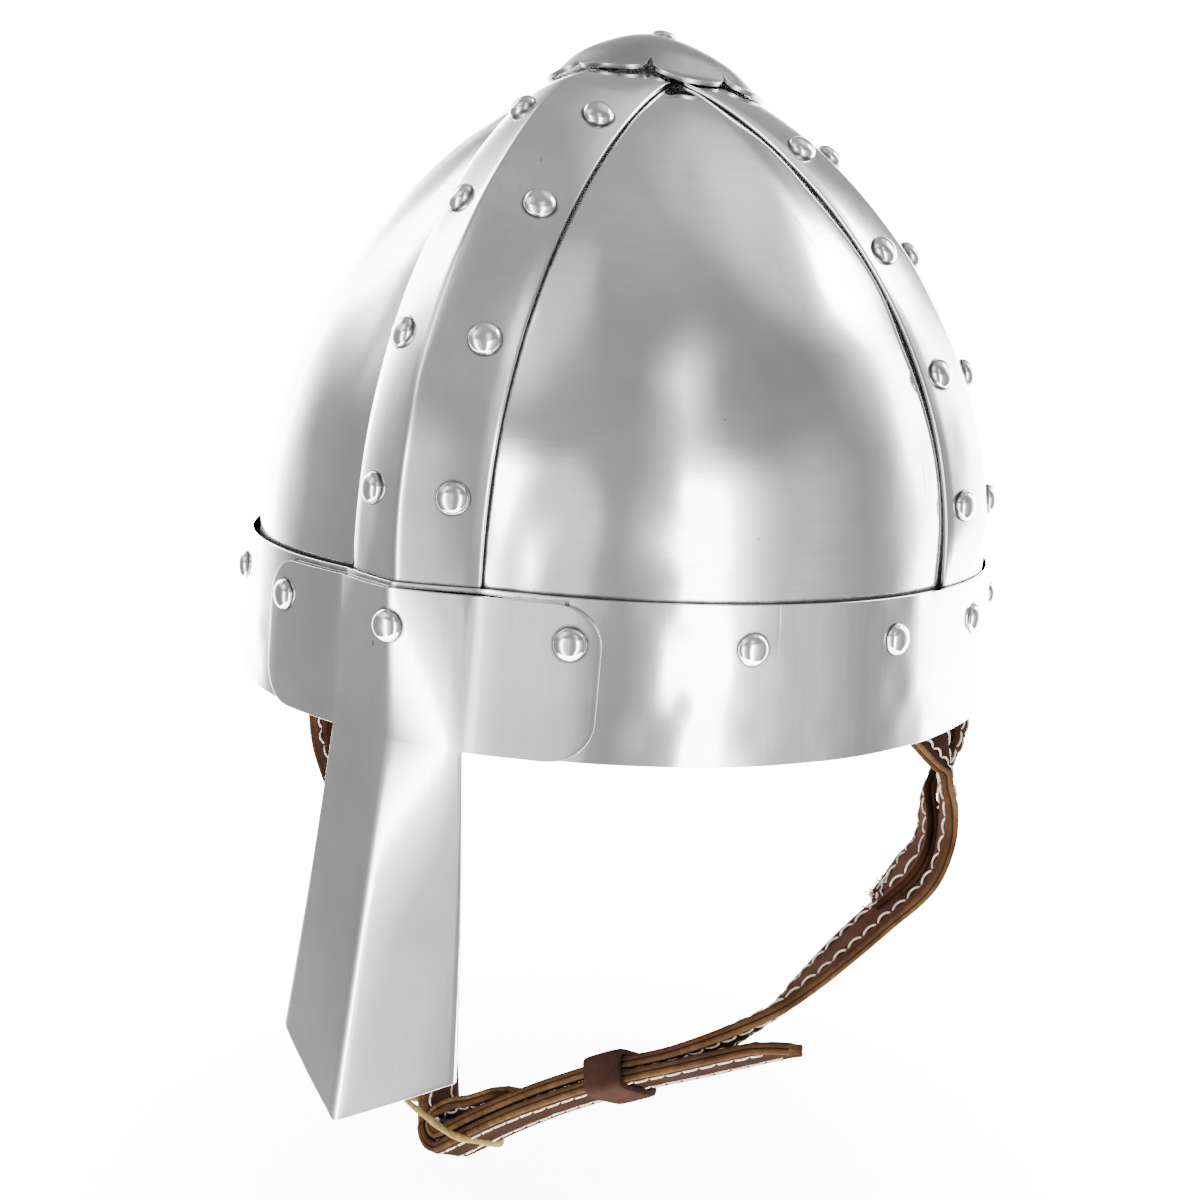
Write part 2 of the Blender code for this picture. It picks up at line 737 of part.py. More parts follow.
def build_right_strap(material):
    """The right strap: mirrored front leg, plain way down, round the fold and out to its tapered tip."""
    outer = outer_radius()
    rows = wall_rows(-FRONT_LEG_ANGLE, -1.0)
    rows += route_rows(FRONT_LEG_ROWS[:6], -1.0)
    rows += route_rows(RIGHT_REST_ROWS)
    rows += [fold_row(turn, outer) for turn in PAST_FOLD_TURNS]
    rows += [straight_row(share * BUNDLE_LENGTH, -outer) for share in BUNDLE_SHARES[3::-1]]
    rows += route_rows(TIP_ROWS)
    return add_object("chin_strap_right", ribbon_solid(rows, STRAP_WIDTH, STRAP_THICKNESS), material)


def build_keeper(material):
    """The leather loop round both straps."""
    stack = 2.0 * STRAP_THICKNESS + STRAP_LAYER_GAP
    middle = -0.5 * (fold_radius() + outer_radius())
    builder = bmesh.new()
    rings = []
    for along in (-0.5 * KEEPER_WIDTH, 0.5 * KEEPER_WIDTH):
        for wall in (0.0, KEEPER_WALL):
            half = 0.5 * STRAP_WIDTH + KEEPER_SLACK + wall
            deep = 0.5 * stack + KEEPER_SLACK + wall
            cut = KEEPER_CORNER + 0.6 * wall
            corners = [
                (half - cut, deep), (half, deep - cut), (half, cut - deep), (half - cut, -deep),
                (cut - half, -deep), (-half, cut - deep), (-half, deep - cut), (cut - half, deep),
            ]
            ring = [bundle_point(KEEPER_ALONG + along, middle + b, a) for a, b in corners]
            rings.append([builder.verts.new(point) for point in ring])
    near_in, near_out, far_in, far_out = rings
    for start, end in ((near_in, near_out), (near_out, far_out), (far_out, far_in), (far_in, near_in)):
        for side in range(len(start)):
            after = (side + 1) % len(start)
            builder.faces.new([start[side], start[after], end[after], end[side]])
    return add_object("keeper", builder, material)


def build_clasp(material):
    """The plain bar inside the left strap's fold."""
    rows = [(CLASP_RADIUS, -0.5 * CLASP_LENGTH), (CLASP_RADIUS, 0.5 * CLASP_LENGTH)]
    item = add_object("clasp_bar", turned_solid(rows, 12), material)
    item.rotation_mode = "QUATERNION"
    item.rotation_quaternion = bundle_frame(0.0)[2].to_track_quat("Z", "Y")
    item.location = bundle_point(0.0, 0.0)
    return item


def build_tie(material):
    """The rawhide string tied round the folded end."""
    skew = math.radians(TIE_SKEW)
    builder = bmesh.new()
    path = []
    for step in range(TIE_STEPS):
        turn = 2.0 * math.pi * step / TIE_STEPS
        sine, cosine = math.sin(turn), math.cos(turn)
        scale = (abs(sine) ** TIE_SQUARENESS + abs(cosine) ** TIE_SQUARENESS) ** (-1.0 / TIE_SQUARENESS)
        rise = TIE_HALF_HEIGHT * sine * scale + TIE_LIFT
        across = TIE_HALF_WIDTH * cosine * scale
        path.append(bundle_point(TIE_ALONG - rise * math.sin(skew), rise * math.cos(skew), across))
    rings = []
    middle = sum(path, Vector()) / TIE_STEPS
    for step, point in enumerate(path):
        ahead = (path[(step + 1) % TIE_STEPS] - path[step - 1]).normalized()
        out = point - middle
        out = (out - ahead * out.dot(ahead)).normalized()
        aside = ahead.cross(out)
        ring = []
        for side in range(TIE_SIDES):
            turn = 2.0 * math.pi * side / TIE_SIDES
            spot = point + (out * math.cos(turn) + aside * math.sin(turn)) * TIE_RADIUS
            ring.append(builder.verts.new(spot))
        rings.append(ring)
    for step in range(TIE_STEPS):
        low, high = rings[step], rings[(step + 1) % TIE_STEPS]
        for side in range(TIE_SIDES):
            after = (side + 1) % TIE_SIDES
            builder.faces.new([low[side], low[after], high[after], high[side]])
    return add_object("tie", builder, material)


def main():
    clear_scene()
    steel = {
        name: make_material(name, STEEL, 1.0, roughness)
        for name, roughness in (("plate_steel", 0.32), ("band_steel", 0.30), ("brow_steel", 0.22), ("rivet_steel", 0.25))
    }
    leather = make_material("strap_leather", LEATHER, 0.0, 0.55)
    rawhide = make_material("tie_rawhide", RAWHIDE, 0.0, 0.6)
    for side in range(4):
        build_plate(side, steel["plate_steel"])
        build_band(side, steel["band_steel"])
    brow_band = build_brow_band(steel["brow_steel"])
    nasal = build_nasal(steel["brow_steel"])
    join_brow_rivets(brow_band, nasal, steel["rivet_steel"])
    build_band_rivets(steel["rivet_steel"])
    build_finial(steel["band_steel"])
    build_finial_rivet(steel["rivet_steel"])
    build_left_strap(leather)
    build_rear_leg("rear_leg_left", 1.0, leather)
    build_right_strap(leather)
    build_rear_leg("rear_leg_right", -1.0, leather)
    build_keeper(leather)
    build_clasp(steel["rivet_steel"])
    build_tie(rawhide)


main()
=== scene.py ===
"""The look of a riveted spangenhelm: satin steel sheet, peened rivets and a sewn leather strap."""

import math

import bmesh
import bpy
import numpy as np
from mathutils import Matrix, Vector


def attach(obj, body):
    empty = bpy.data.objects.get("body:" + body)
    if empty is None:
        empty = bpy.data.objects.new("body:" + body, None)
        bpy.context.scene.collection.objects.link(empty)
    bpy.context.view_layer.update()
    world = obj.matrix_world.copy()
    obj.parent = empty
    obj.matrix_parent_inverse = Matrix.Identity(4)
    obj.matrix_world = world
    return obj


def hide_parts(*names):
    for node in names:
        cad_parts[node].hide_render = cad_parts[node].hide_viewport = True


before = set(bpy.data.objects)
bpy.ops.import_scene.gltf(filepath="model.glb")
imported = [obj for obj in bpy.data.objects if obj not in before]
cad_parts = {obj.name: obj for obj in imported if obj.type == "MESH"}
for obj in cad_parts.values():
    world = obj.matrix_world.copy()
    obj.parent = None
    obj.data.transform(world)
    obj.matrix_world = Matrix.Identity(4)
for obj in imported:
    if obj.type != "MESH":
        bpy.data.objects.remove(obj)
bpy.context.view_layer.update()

# Dome and sheet sizes, in metres, as in the frame
HALF_WIDTH = 0.1045
HALF_LENGTH = 0.1080
CROWN_HEIGHT = 0.1748
BROW_HEIGHT = 0.0390
BROW_FLARE = 0.0020
APEX_FORWARD = 0.0037
SHOULDER_POWER = 2.05
TIP_POWER = 1.44
PLAN_POWER = 2.08
SHEET = 0.0012
NASAL_SHEET = 0.0016
GAP = 0.0003
BROW_OFFSET = GAP + SHEET + GAP
NASAL_OFFSET = BROW_OFFSET + SHEET + GAP
BAND_HALF_WIDTH = 0.0185
FRONT_RIDGE = 0.0085
SIDE_RIDGE = 0.0040
FOOT_HEIGHT = 0.0040

NASAL_TOP_HALF_WIDTH = 0.0187
NASAL_END_HALF_WIDTH = 0.0253
NASAL_EDGE_DROP = 0.0800
NASAL_POINT = 0.0120
NASAL_EDGE_SWEEP = 0.0085
NASAL_RIDGE_SWEEP = 0.0174
NASAL_ARM = 0.0470
NASAL_CORNER = 0.0100
NASAL_TOP_MARGIN = 0.0015
NASAL_BEND = 0.0014

FINIAL_PETALS = 8
FINIAL_RADIUS = 0.0307
FINIAL_NOTCH_RADIUS = 0.0247
FINIAL_SEAT = 0.0020
FINIAL_PEAK = 0.0036
FINIAL_FRONT_LIFT = 0.0018
FINIAL_ASIDE = 0.0017
FINIAL_BACK = 0.0040

RIVET_RADIUS = 0.0040
RIVET_HEAD = 0.0024
BROW_RIVETS = 16
BROW_RIVET_HEIGHT = 0.0284

SIDE_NAMES = ["front", "left", "back", "right"]
TO_MM = 1000.0
FAR = 99.0
BLUR_WEIGHTS = np.array([1.0, 4.0, 6.0, 4.0, 1.0]) / 16.0

# The sheets' fine unevenness, and how many points their grids and rims have
PLATE_COLUMNS = 97
PLATE_EDGE = 0.0135
PLATE_SWELL = 0.00022
WORKED_SWELL = 0.00050
BAND_SWELL = 0.00008
BAND_TUCK = 0.00022
BROW_SWELL = 0.00012
BAR_COLUMNS = 41
BAR_ROWS = 60
ARM_COLUMNS = 24
PETAL_STEPS = 24
HEAD_SIDES = 28
HEAD_RINGS = 9
HEAD_ROOT = 0.0009

# Colour of the grime and painted shade along seams and round rivet rims
GRIME_AND_SHADE_COLOUR = (0.030, 0.027, 0.024, 1.0)
SPOT_COLOUR = (0.16, 0.12, 0.09, 1.0)
STRAP_OUTSIDE_COLOUR = (0.0060, 0.0038, 0.0032, 1.0)

# How far the creases stand out up the dome: height share, front share, side share
RIDGE_ROWS = [
    (0.00, 0.30, 0.00),
    (0.222, 0.80, 0.00),
    (0.31, 0.90, 1.00),
    (0.52, 1.00, 0.90),
    (0.70, 0.95, 0.75),
    (0.85, 0.84, 0.45),
    (0.90, 0.72, 0.24),
    (0.92, 0.52, 0.15),
    (0.944, 0.22, 0.12),
    (1.00, 0.08, 0.05),
]
# Band rivets: height share in front and back, height share at the sides, lateral share, shift in front
BAND_RIVET_ROWS = [
    (0.338, 0.340, 0.60, 0.02),
    (0.541, 0.527, 0.60, 0.02),
    (0.723, 0.700, 0.57, 0.08),
    (0.860, 0.846, 0.55, 0.13),
]

STRAP_WIDTH = 0.0150
STRAP_THICKNESS = 0.0036
STRAP_DROP = 0.1600
STRAP_SEAT = 0.0011
STRAP_LAYER_GAP = 0.0006
CLASP_RADIUS = 0.0015
CLASP_LENGTH = 0.0140
FOLD_RADIUS = CLASP_RADIUS + GAP + 0.5 * STRAP_THICKNESS
OUTER_RADIUS = FOLD_RADIUS + STRAP_THICKNESS + STRAP_LAYER_GAP
FOLD_ACROSS = -0.0367
FOLD_FORWARD = 0.0240
FOLD_BELOW = 0.1570
BUNDLE_SLOPE = 40.0
BUNDLE_CURL = 14.0
BUNDLE_LENGTH = 0.0960
BUNDLE_ROLL = 32.0
FOLD_END_LENGTH = 0.0290
KEEPER_ALONG = 0.0710
KEEPER_WIDTH = 0.0130
KEEPER_WALL = 0.0018
KEEPER_SLACK = 0.0004
TIE_RADIUS = 0.0009
TIE_SKEW = 46.0
TIE_HALF_HEIGHT = 0.0156
TIE_HALF_WIDTH = 0.0122
TIE_ALONG = 0.0015
TIE_LIFT = 0.0012
TIE_SQUARENESS = 5.0

STRAP_SPACING = 0.0014
STRAP_EDGE = 0.0008
LEFT_END_CUT = 0.0045
REAR_LEG_ASIDE = 0.0040
RIGHT_SPREAD = -1.03
STITCH_IN = 0.0031
STITCH_PITCH = 0.0056
STITCH_MARGIN = 0.0040
STITCH_BOW = 0.00115
STITCH_LIFT = 0.00018
STITCH_DEPTH = 0.00056
STITCH_RISE = 0.00058
THREAD_RADIUS = 0.00030
FRAYS = 14
FRAY_REACH = 0.0065
FRAY_STEP = 0.0009
FRAY_RADIUS = 0.00022

# Strap routes: across, forward and below as shares of the helmet, bearing and tilt of the inner face
FRONT_LEG_ROWS = [
    (0.995, 0.060, 0.040, 196, 4),
    (1.012, 0.020, 0.100, 204, 8),
    (1.022, 0.000, 0.160, 208, 14),
    (1.015, 0.000, 0.225, 212, 24),
    (0.980, 0.020, 0.295, 215, 34),
    (0.893, 0.060, 0.365, 217, 42),
    (0.812, 0.110, 0.430, 214, 46),
    (0.728, 0.170, 0.500, 196, 52),
    (0.640, 0.215, 0.565, 160, 56),
]
REAR_LEG_ROWS = [
    (0.971, -0.215, 0.040, 186, 0),
    (0.966, -0.175, 0.095, 190, 4),
    (0.937, -0.110, 0.160, 193, 8),
    (0.956, -0.052, 0.225, 201, 18),
]
RIGHT_REST_ROWS = [
    (-0.800, 0.130, 0.450, -16, 30),
    (-0.670, 0.185, 0.560, -12, 30),
    (-0.540, 0.195, 0.670, -8, 34),
    (-0.450, 0.195, 0.790, -4, 30),
]
TIP_ROWS = [
    (0.640, 0.245, 0.628, 126, 50, 1.00),
    (0.710, 0.262, 0.603, 124, 54, 0.80),
    (0.755, 0.270, 0.592, 124, 56, 0.50),
]
WALL_ROWS = [(0.0, 0.87), (2.5, 0.56), (7.5, 0.28)]
BUNDLE_SHARES = [1.0, 0.74, 0.47, 0.23, 0.08]
FOLD_TURNS = [270.0, 225.0, 180.0, 135.0, 90.0]
FOLD_END_ROWS = [(0.25, 0.90), (0.55, 0.35), (1.0, 0.04)]
PAST_FOLD_TURNS = [140.0, 180.0, 220.0, 250.0, 270.0]


# The dome, in arrays
def plan_sizes(height):
    share = np.clip((height - BROW_HEIGHT) / (CROWN_HEIGHT - BROW_HEIGHT), 0.0, 0.9999)
    size = (1.0 - share**SHOULDER_POWER) ** (1.0 / TIP_POWER)
    flare = BROW_FLARE * np.maximum(0.0, 1.0 - height / BROW_HEIGHT)
    return HALF_WIDTH * size + flare, HALF_LENGTH * size + flare, APEX_FORWARD * (1.0 - size)


def push_out(x, y, height, offset):
    half_x, half_y, shift = plan_sizes(height)
    step = 0.0002
    low_x, low_y, _ = plan_sizes(height - step)
    high_x, high_y, _ = plan_sizes(height + step)
    share_x = x / half_x
    share_y = (y + shift) / half_y
    slope_x = np.copysign(np.abs(share_x) ** (PLAN_POWER - 1.0), share_x) / half_x
    slope_y = np.copysign(np.abs(share_y) ** (PLAN_POWER - 1.0), share_y) / half_y
    shrink = (low_x + low_y - high_x - high_y) / (2.0 * step * (half_x + half_y))
    normal = np.stack([slope_x, slope_y, np.maximum(shrink, 0.0) + 0.0 * x], -1)
    normal /= np.linalg.norm(normal, axis=-1, keepdims=True)
    return np.stack([x, y, height + 0.0 * x], -1) + normal * np.asarray(offset)[..., None]


def crease(side, lateral, height, soften=0.0007):
    shares = np.array([row[0] for row in RIDGE_ROWS])
    column = np.array([row[1 if side == 0 else 2] for row in RIDGE_ROWS])
    ridge = FRONT_RIDGE if side == 0 else SIDE_RIDGE
    rise = ridge * np.interp(height / CROWN_HEIGHT, shares, column)
    away = np.sqrt(lateral**2 + soften**2) - soften
    return rise * np.maximum(0.0, 1.0 - away / BAND_HALF_WIDTH)


def under_cap(x, y):
    """How far off the dome a sheet may stand to pass below the finial cap."""
    across = x - FINIAL_ASIDE
    along = FINIAL_BACK - APEX_FORWARD - y
    radius = np.hypot(across, along)
    share = np.minimum(radius / FINIAL_RADIUS, 1.0)
    lift = FINIAL_FRONT_LIFT * 0.5 * (1.0 + along / np.maximum(radius, 1e-6)) * share
    beyond = np.maximum(radius - FINIAL_RADIUS - 0.0004, 0.0)
    return FINIAL_SEAT + lift + FINIAL_PEAK * (1.0 - share**2) - 0.00060 + 0.5 * beyond


def side_point(side, lateral, height, offset):
    half_x, half_y, shift = plan_sizes(height)
    turn = math.radians(90.0 * side)
    out = (math.sin(turn), -math.cos(turn))
    along = (math.cos(turn), math.sin(turn))
    reach, spread = (half_y, half_x) if side % 2 == 0 else (half_x, half_y)
    share = np.minimum(np.abs(lateral) / spread, 1.0)
    depth = reach * (1.0 - share**PLAN_POWER) ** (1.0 / PLAN_POWER)
    x = out[0] * depth + along[0] * lateral
    y = out[1] * depth + along[1] * lateral - shift
    rise = offset + crease(side, lateral, height)
    spread_out = push_out(x, y, height, rise)
    return push_out(x, y, height, np.minimum(rise, under_cap(spread_out[..., 0], spread_out[..., 1])))


def ring_point(angle, height, offset, creased=True):
    half_x, half_y, shift = plan_sizes(height)
    sine = np.sin(np.radians(angle))
    cosine = np.cos(np.radians(angle))
    scale = (np.abs(sine) ** PLAN_POWER + np.abs(cosine) ** PLAN_POWER) ** (-1.0 / PLAN_POWER)
    x = half_x * sine * scale
    y = -half_y * cosine * scale - shift
    rise = np.where(cosine > 0.0, crease(0, x, height), 0.0) if creased else 0.0
    return push_out(x, y, height, offset + rise)


def dome_height(x, y):
    share = 0.0 * x
    for _ in range(3):
        share_x = np.abs(x) / HALF_WIDTH
        share_y = np.abs(y + APEX_FORWARD * (1.0 - share)) / HALF_LENGTH
        share = (share_x**PLAN_POWER + share_y**PLAN_POWER) ** (1.0 / PLAN_POWER)
    rise = (1.0 - np.minimum(share, 1.0) ** TIP_POWER) ** (1.0 / SHOULDER_POWER)
    return BROW_HEIGHT + (CROWN_HEIGHT - BROW_HEIGHT) * np.minimum(rise, 0.9999)


def row_heights(start, count, top_turn=86.0):
    turn = np.radians(np.linspace(0.0, top_turn, count))
    dome = BROW_HEIGHT + (CROWN_HEIGHT - BROW_HEIGHT) * np.sin(turn)
    return np.concatenate([np.linspace(start, BROW_HEIGHT, 8)[:-1], dome])


# Materials
def new_material(name):
    material = bpy.data.materials.new(name)
    material.use_nodes = True
    tree = material.node_tree
    return material, tree, tree.nodes["Principled BSDF"]


def put(tree, target, values):
    """Give a node's inputs their values: an output socket is linked, anything else is set."""
    for key, value in values.items():
        if isinstance(value, bpy.types.NodeSocket):
            tree.links.new(value, target.inputs[key])
        else:
            target.inputs[key].default_value = value


def add_node(tree, kind, output, values, **settings):
    made = tree.nodes.new(kind)
    for key, value in settings.items():
        setattr(made, key, value)
    put(tree, made, values)
    return made.outputs[output]


def stretched(tree, scale=(1.0, 1.0, 1.0), turn=(0.0, 0.0, 0.0)):
    place = add_node(tree, "ShaderNodeTexCoord", "Object", {})
    values = {"Vector": place, "Scale": scale, "Rotation": [math.radians(t) for t in turn]}
    return add_node(tree, "ShaderNodeMapping", "Vector", values)


def noise(tree, vector, scale, detail=3.0, roughness=0.5, distortion=0.0):
    values = {"Vector": vector, "Scale": scale, "Detail": detail, "Roughness": roughness, "Distortion": distortion}
    return add_node(tree, "ShaderNodeTexNoise", "Fac", values)


def remap(tree, value, low, high, to_low, to_high, smooth=False):
    values = {"Value": value, "From Min": low, "From Max": high, "To Min": to_low, "To Max": to_high}
    kind = "SMOOTHSTEP" if smooth else "LINEAR"
    return add_node(tree, "ShaderNodeMapRange", "Result", values, interpolation_type=kind)


def math_node(tree, kind, first, second=0.0):
    return add_node(tree, "ShaderNodeMath", 0, {0: first, 1: second}, operation=kind)


def mix_colour(tree, share, first, second):
    """Mix two colours. The node's colour sockets are its inputs 6 and 7 and its output 2."""
    return add_node(tree, "ShaderNodeMix", 2, {0: share, 6: first, 7: second}, data_type="RGBA")


def attribute(tree, name):
    return add_node(tree, "ShaderNodeAttribute", "Fac", {}, attribute_name=name)


def bump(tree, height, strength, distance, after=None):
    values = {"Height": height, "Strength": strength, "Distance": distance}
    if after is not None:
        values["Normal"] = after
    return add_node(tree, "ShaderNodeBump", "Normal", values)


def shade(colour, share):
    return tuple(min(1.0, part * share) for part in colour[:3]) + (1.0,)


def steel(name, tone, rough, brush, grime_and_shade=0.9):
    """Satin sheet: blotchy polish, hairline brushing one way, a few scratches, grime and painted shade darkening
    it by covered seams and rivet rims.
    """
    material, tree, shader = new_material(name)
    plain = stretched(tree)
    blotch = noise(tree, plain, 16.0, 4.0, 0.55)
    cloud = noise(tree, plain, 55.0, 3.0, 0.6)
    fine = noise(tree, stretched(tree, brush), 1.0, 4.0, 0.65)
    hair = noise(tree, stretched(tree, (14.0, 260.0, 14.0), (34.0, 12.0, 57.0)), 1.0, 2.0, 0.5)
    hair_two = noise(tree, stretched(tree, (10.0, 10.0, 320.0), (20.0, 48.0, 15.0)), 1.0, 2.0, 0.5)
    line = remap(tree, hair, 0.735, 0.76, 0.0, 1.0)
    line_two = remap(tree, hair_two, 0.745, 0.77, 0.0, 1.0)
    ragged = remap(tree, noise(tree, plain, 240.0, 3.0, 0.6), 0.3, 0.7, -0.18, 0.18)
    # Grime and painted shade: the seam value darkens the sheet along covered seams and round rivet rims.
    seam = math_node(tree, "ADD", attribute(tree, "seam"), ragged)
    grime_and_shade_mask = remap(tree, seam, 0.0, 0.95, grime_and_shade, 0.0, smooth=True)
    blotches = remap(tree, blotch, 0.35, 0.65, 0.0, 1.0)
    colour = mix_colour(tree, blotches, shade(tone, 0.80), shade(tone, 1.10))
    colour = mix_colour(tree, remap(tree, fine, 0.42, 0.72, 0.0, 0.55), colour, shade(tone, 0.86))
    spots = remap(tree, noise(tree, plain, 300.0, 1.0, 0.4), 0.815, 0.84, 0.0, 0.6)
    colour = mix_colour(tree, spots, colour, SPOT_COLOUR)
    colour = mix_colour(tree, grime_and_shade_mask, colour, GRIME_AND_SHADE_COLOUR)
    level = remap(tree, blotch, 0.3, 0.7, rough * 0.80, rough * 1.20)
    for part in (
        remap(tree, cloud, 0.3, 0.7, -0.2 * rough, 0.2 * rough),
        remap(tree, fine, 0.3, 0.7, -0.25 * rough, 0.35 * rough),
        remap(tree, grime_and_shade_mask, 0.0, 1.0, 0.0, 0.35),
    ):
        level = math_node(tree, "ADD", level, part)
    scratches = math_node(tree, "MULTIPLY", math_node(tree, "MAXIMUM", line, line_two), -1.0)
    relief = bump(tree, fine, 0.10, 0.00006)
    relief = bump(tree, cloud, 0.10, 0.0004, relief)
    relief = bump(tree, scratches, 0.35, 0.00008, relief)
    put(tree, shader, {"Base Color": colour, "Metallic": 1.0, "Roughness": level, "Normal": relief})
    return material


def leather(name, base, light, rough, grain=1.0, stitched=True):
    """Oiled hide: pores and creases, paler rubbed patches, a darker furrow under the stitches."""
    material, tree, shader = new_material(name)
    plain = stretched(tree)
    pores = add_node(tree, "ShaderNodeTexVoronoi", "Distance", {"Vector": plain, "Scale": 1500.0})
    worn = noise(tree, plain, 90.0, 5.0, 0.6)
    broad = noise(tree, plain, 28.0, 3.0, 0.5)
    wrinkle = noise(tree, stretched(tree, (330.0, 330.0, 330.0)), 1.0, 4.0, 0.65, 0.6)
    colour = mix_colour(tree, remap(tree, worn, 0.40, 0.68, 0.0, 0.75), base, light)
    colour = mix_colour(tree, remap(tree, broad, 0.35, 0.65, 0.0, 0.45), colour, shade(base, 0.55))
    if stitched:
        outside = remap(tree, attribute(tree, "layer"), -2.2, -2.0, 0.72, 0.0)
        colour = mix_colour(tree, outside, colour, STRAP_OUTSIDE_COLOUR)
        furrow = remap(tree, attribute(tree, "furrow"), 0.1, 0.9, 0.55, 0.0, smooth=True)
        colour = mix_colour(tree, furrow, colour, shade(base, 0.35))
    polish = remap(tree, worn, 0.3, 0.7, rough + 0.08, rough - 0.10)
    relief = bump(tree, pores, 0.35 * grain, 0.00012)
    relief = bump(tree, wrinkle, 0.45 * grain, 0.00025, relief)
    put(tree, shader, {"Base Color": colour, "Roughness": polish, "Specular IOR Level": 0.0, "Normal": relief})
    return material


def cut_edge(name, base, light, dark):
    """The raw cut edge of sewn hide: fibres along the strap and the dark line between its layers."""
    material, tree, shader = new_material(name)
    plain = stretched(tree)
    fibre = noise(tree, plain, 260.0, 5.0, 0.7, 0.8)
    patch = noise(tree, plain, 70.0, 3.0, 0.55)
    layer = attribute(tree, "layer")
    groove = remap(tree, math_node(tree, "ABSOLUTE", layer), 0.05, 0.34, 0.65, 0.0, smooth=True)
    colour = mix_colour(tree, remap(tree, fibre, 0.32, 0.68, 0.0, 1.0), base, light)
    colour = mix_colour(tree, remap(tree, patch, 0.42, 0.70, 0.0, 0.75), colour, dark)
    # The inner layer's half of the edge is darker: partly that layer's darker hide, partly painted shade.
    colour = mix_colour(tree, remap(tree, layer, -0.5, 0.1, 0.0, 0.62, smooth=True), colour, dark)
    colour = mix_colour(tree, groove, colour, shade(dark, 0.35))
    relief = bump(tree, fibre, 0.8, 0.0003)
    put(tree, shader, {"Base Color": colour, "Roughness": 0.8, "Specular IOR Level": 0.0, "Normal": relief})
    return material


def thread(name, base, light):
    """Twisted thread or lace."""
    material, tree, shader = new_material(name)
    twist = noise(tree, stretched(tree), 900.0, 3.0, 0.6)
    colour = mix_colour(tree, remap(tree, twist, 0.35, 0.65, 0.0, 1.0), base, light)
    relief = bump(tree, twist, 0.6, 0.0002)
    put(tree, shader, {"Base Color": colour, "Roughness": 0.75, "Specular IOR Level": 0.05, "Normal": relief})
    return material


# Meshes
def finish_piece(mesh, materials, nodes, bevel=0.0):
    """Link a mesh as a piece of the same name that rides on the body and stands for its solids."""
    item = bpy.data.objects.new(mesh.name, mesh)
    bpy.context.scene.collection.objects.link(item)
    for material in materials:
        mesh.materials.append(material)
    if bevel > 0.0:
        modifier = item.modifiers.new("edges", "BEVEL")
        modifier.width = bevel
        modifier.segments = 3
        modifier.limit_method = "ANGLE"
        modifier.angle_limit = math.radians(50.0)
        modifier.use_clamp_overlap = True
        graph = bpy.context.evaluated_depsgraph_get()
        done = bpy.data.meshes.new_from_object(item.evaluated_get(graph))
        item.modifiers.clear()
        item.data = done
    item.data.shade_smooth()
    item.data.set_sharp_from_angle(angle=math.radians(42))
    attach(item, "root")
    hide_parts(*nodes)
    return item


def mesh_of(name, builder):
    mesh = bpy.data.meshes.new(name)
    builder.to_mesh(mesh)
    builder.free()
    return mesh


def turn_outward(mesh):
    builder = bmesh.new()
    builder.from_mesh(mesh)
    bmesh.ops.recalc_face_normals(builder, faces=builder.faces)
    builder.to_mesh(mesh)
    builder.free()


def join_rings(builder, low, high):
    """Faces between two equal closed rings of vertices."""
    count = len(low)
    for side in range(count):
        after = (side + 1) % count
        builder.faces.new([low[side], low[after], high[after], high[side]])


def set_values(mesh, key, numbers):
    layer = mesh.attributes.new(key, "FLOAT", "POINT")
    layer.data.foreach_set("value", np.asarray(numbers, dtype=np.float32))


def grid_mesh(name, outer, inner, wrap=False, values=None):
    """A closed sheet from two equal grids of points (rows, columns, 3), with vertex values by name."""
    rows, columns = outer.shape[:2]
    base = rows * columns
    faces = []
    last = columns if wrap else columns - 1
    for row in range(rows - 1):
        low, high = row * columns, (row + 1) * columns
        for column in range(last):
            after = (column + 1) % columns
            ring = (low + column, low + after, high + after, high + column)
            faces.append(ring)
            faces.append(tuple(base + mark for mark in reversed(ring)))
    for column in range(last):
        after = (column + 1) % columns
        top = (rows - 1) * columns
        faces.append((after, column, base + column, base + after))
        faces.append((top + column, top + after, base + top + after, base + top + column))
    if not wrap:
        for row in range(rows - 1):
            low, high = row * columns, (row + 1) * columns
            faces.append((low, high, base + high, base + low))
            low, high = low + columns - 1, high + columns - 1
            faces.append((high, low, base + low, base + high))
    mesh = bpy.data.meshes.new(name)
    mesh.from_pydata(outer.reshape(-1, 3).tolist() + inner.reshape(-1, 3).tolist(), [], faces)
    for key, grid in (values or {}).items():
        set_values(mesh, key, np.tile(np.asarray(grid, dtype=float).reshape(-1), 2))
    mesh.validate()
    return mesh


def blur(line):
    return np.convolve(np.pad(line, 2, mode="edge"), BLUR_WEIGHTS, "valid")


def ripple(shape, size, seed, cell=7):
    """A smooth low unevenness over a grid, as planished sheet has."""
    source = np.random.default_rng(seed)
    rows, columns = shape
    coarse = source.normal(size=(max(4, rows // cell), max(4, columns // cell)))
    ys = np.linspace(0, coarse.shape[0] - 1, rows)
    xs = np.linspace(0, coarse.shape[1] - 1, columns)
    smooth = np.array([np.interp(xs, np.arange(coarse.shape[1]), line) for line in coarse])
    smooth = np.array([np.interp(ys, np.arange(coarse.shape[0]), line) for line in smooth.T]).T
    for axis in (0, 1) * 4:
        smooth = np.apply_along_axis(blur, axis, smooth)
    return smooth * size


def rivet_spots():
    """Every band rivet as (side, row, hand, lateral, height)."""
    found = []
    for side in range(4):
        for row, (front_share, side_share, out, shift) in enumerate(BAND_RIVET_ROWS, 1):
            for hand, sign in (("a", -1.0), ("b", 1.0)):
                height = (front_share if side % 2 == 0 else side_share) * CROWN_HEIGHT
                lateral = BAND_HALF_WIDTH * (sign * out + (shift if side == 0 else 0.0))
                found.append((side, row, hand, lateral, height))
    return found


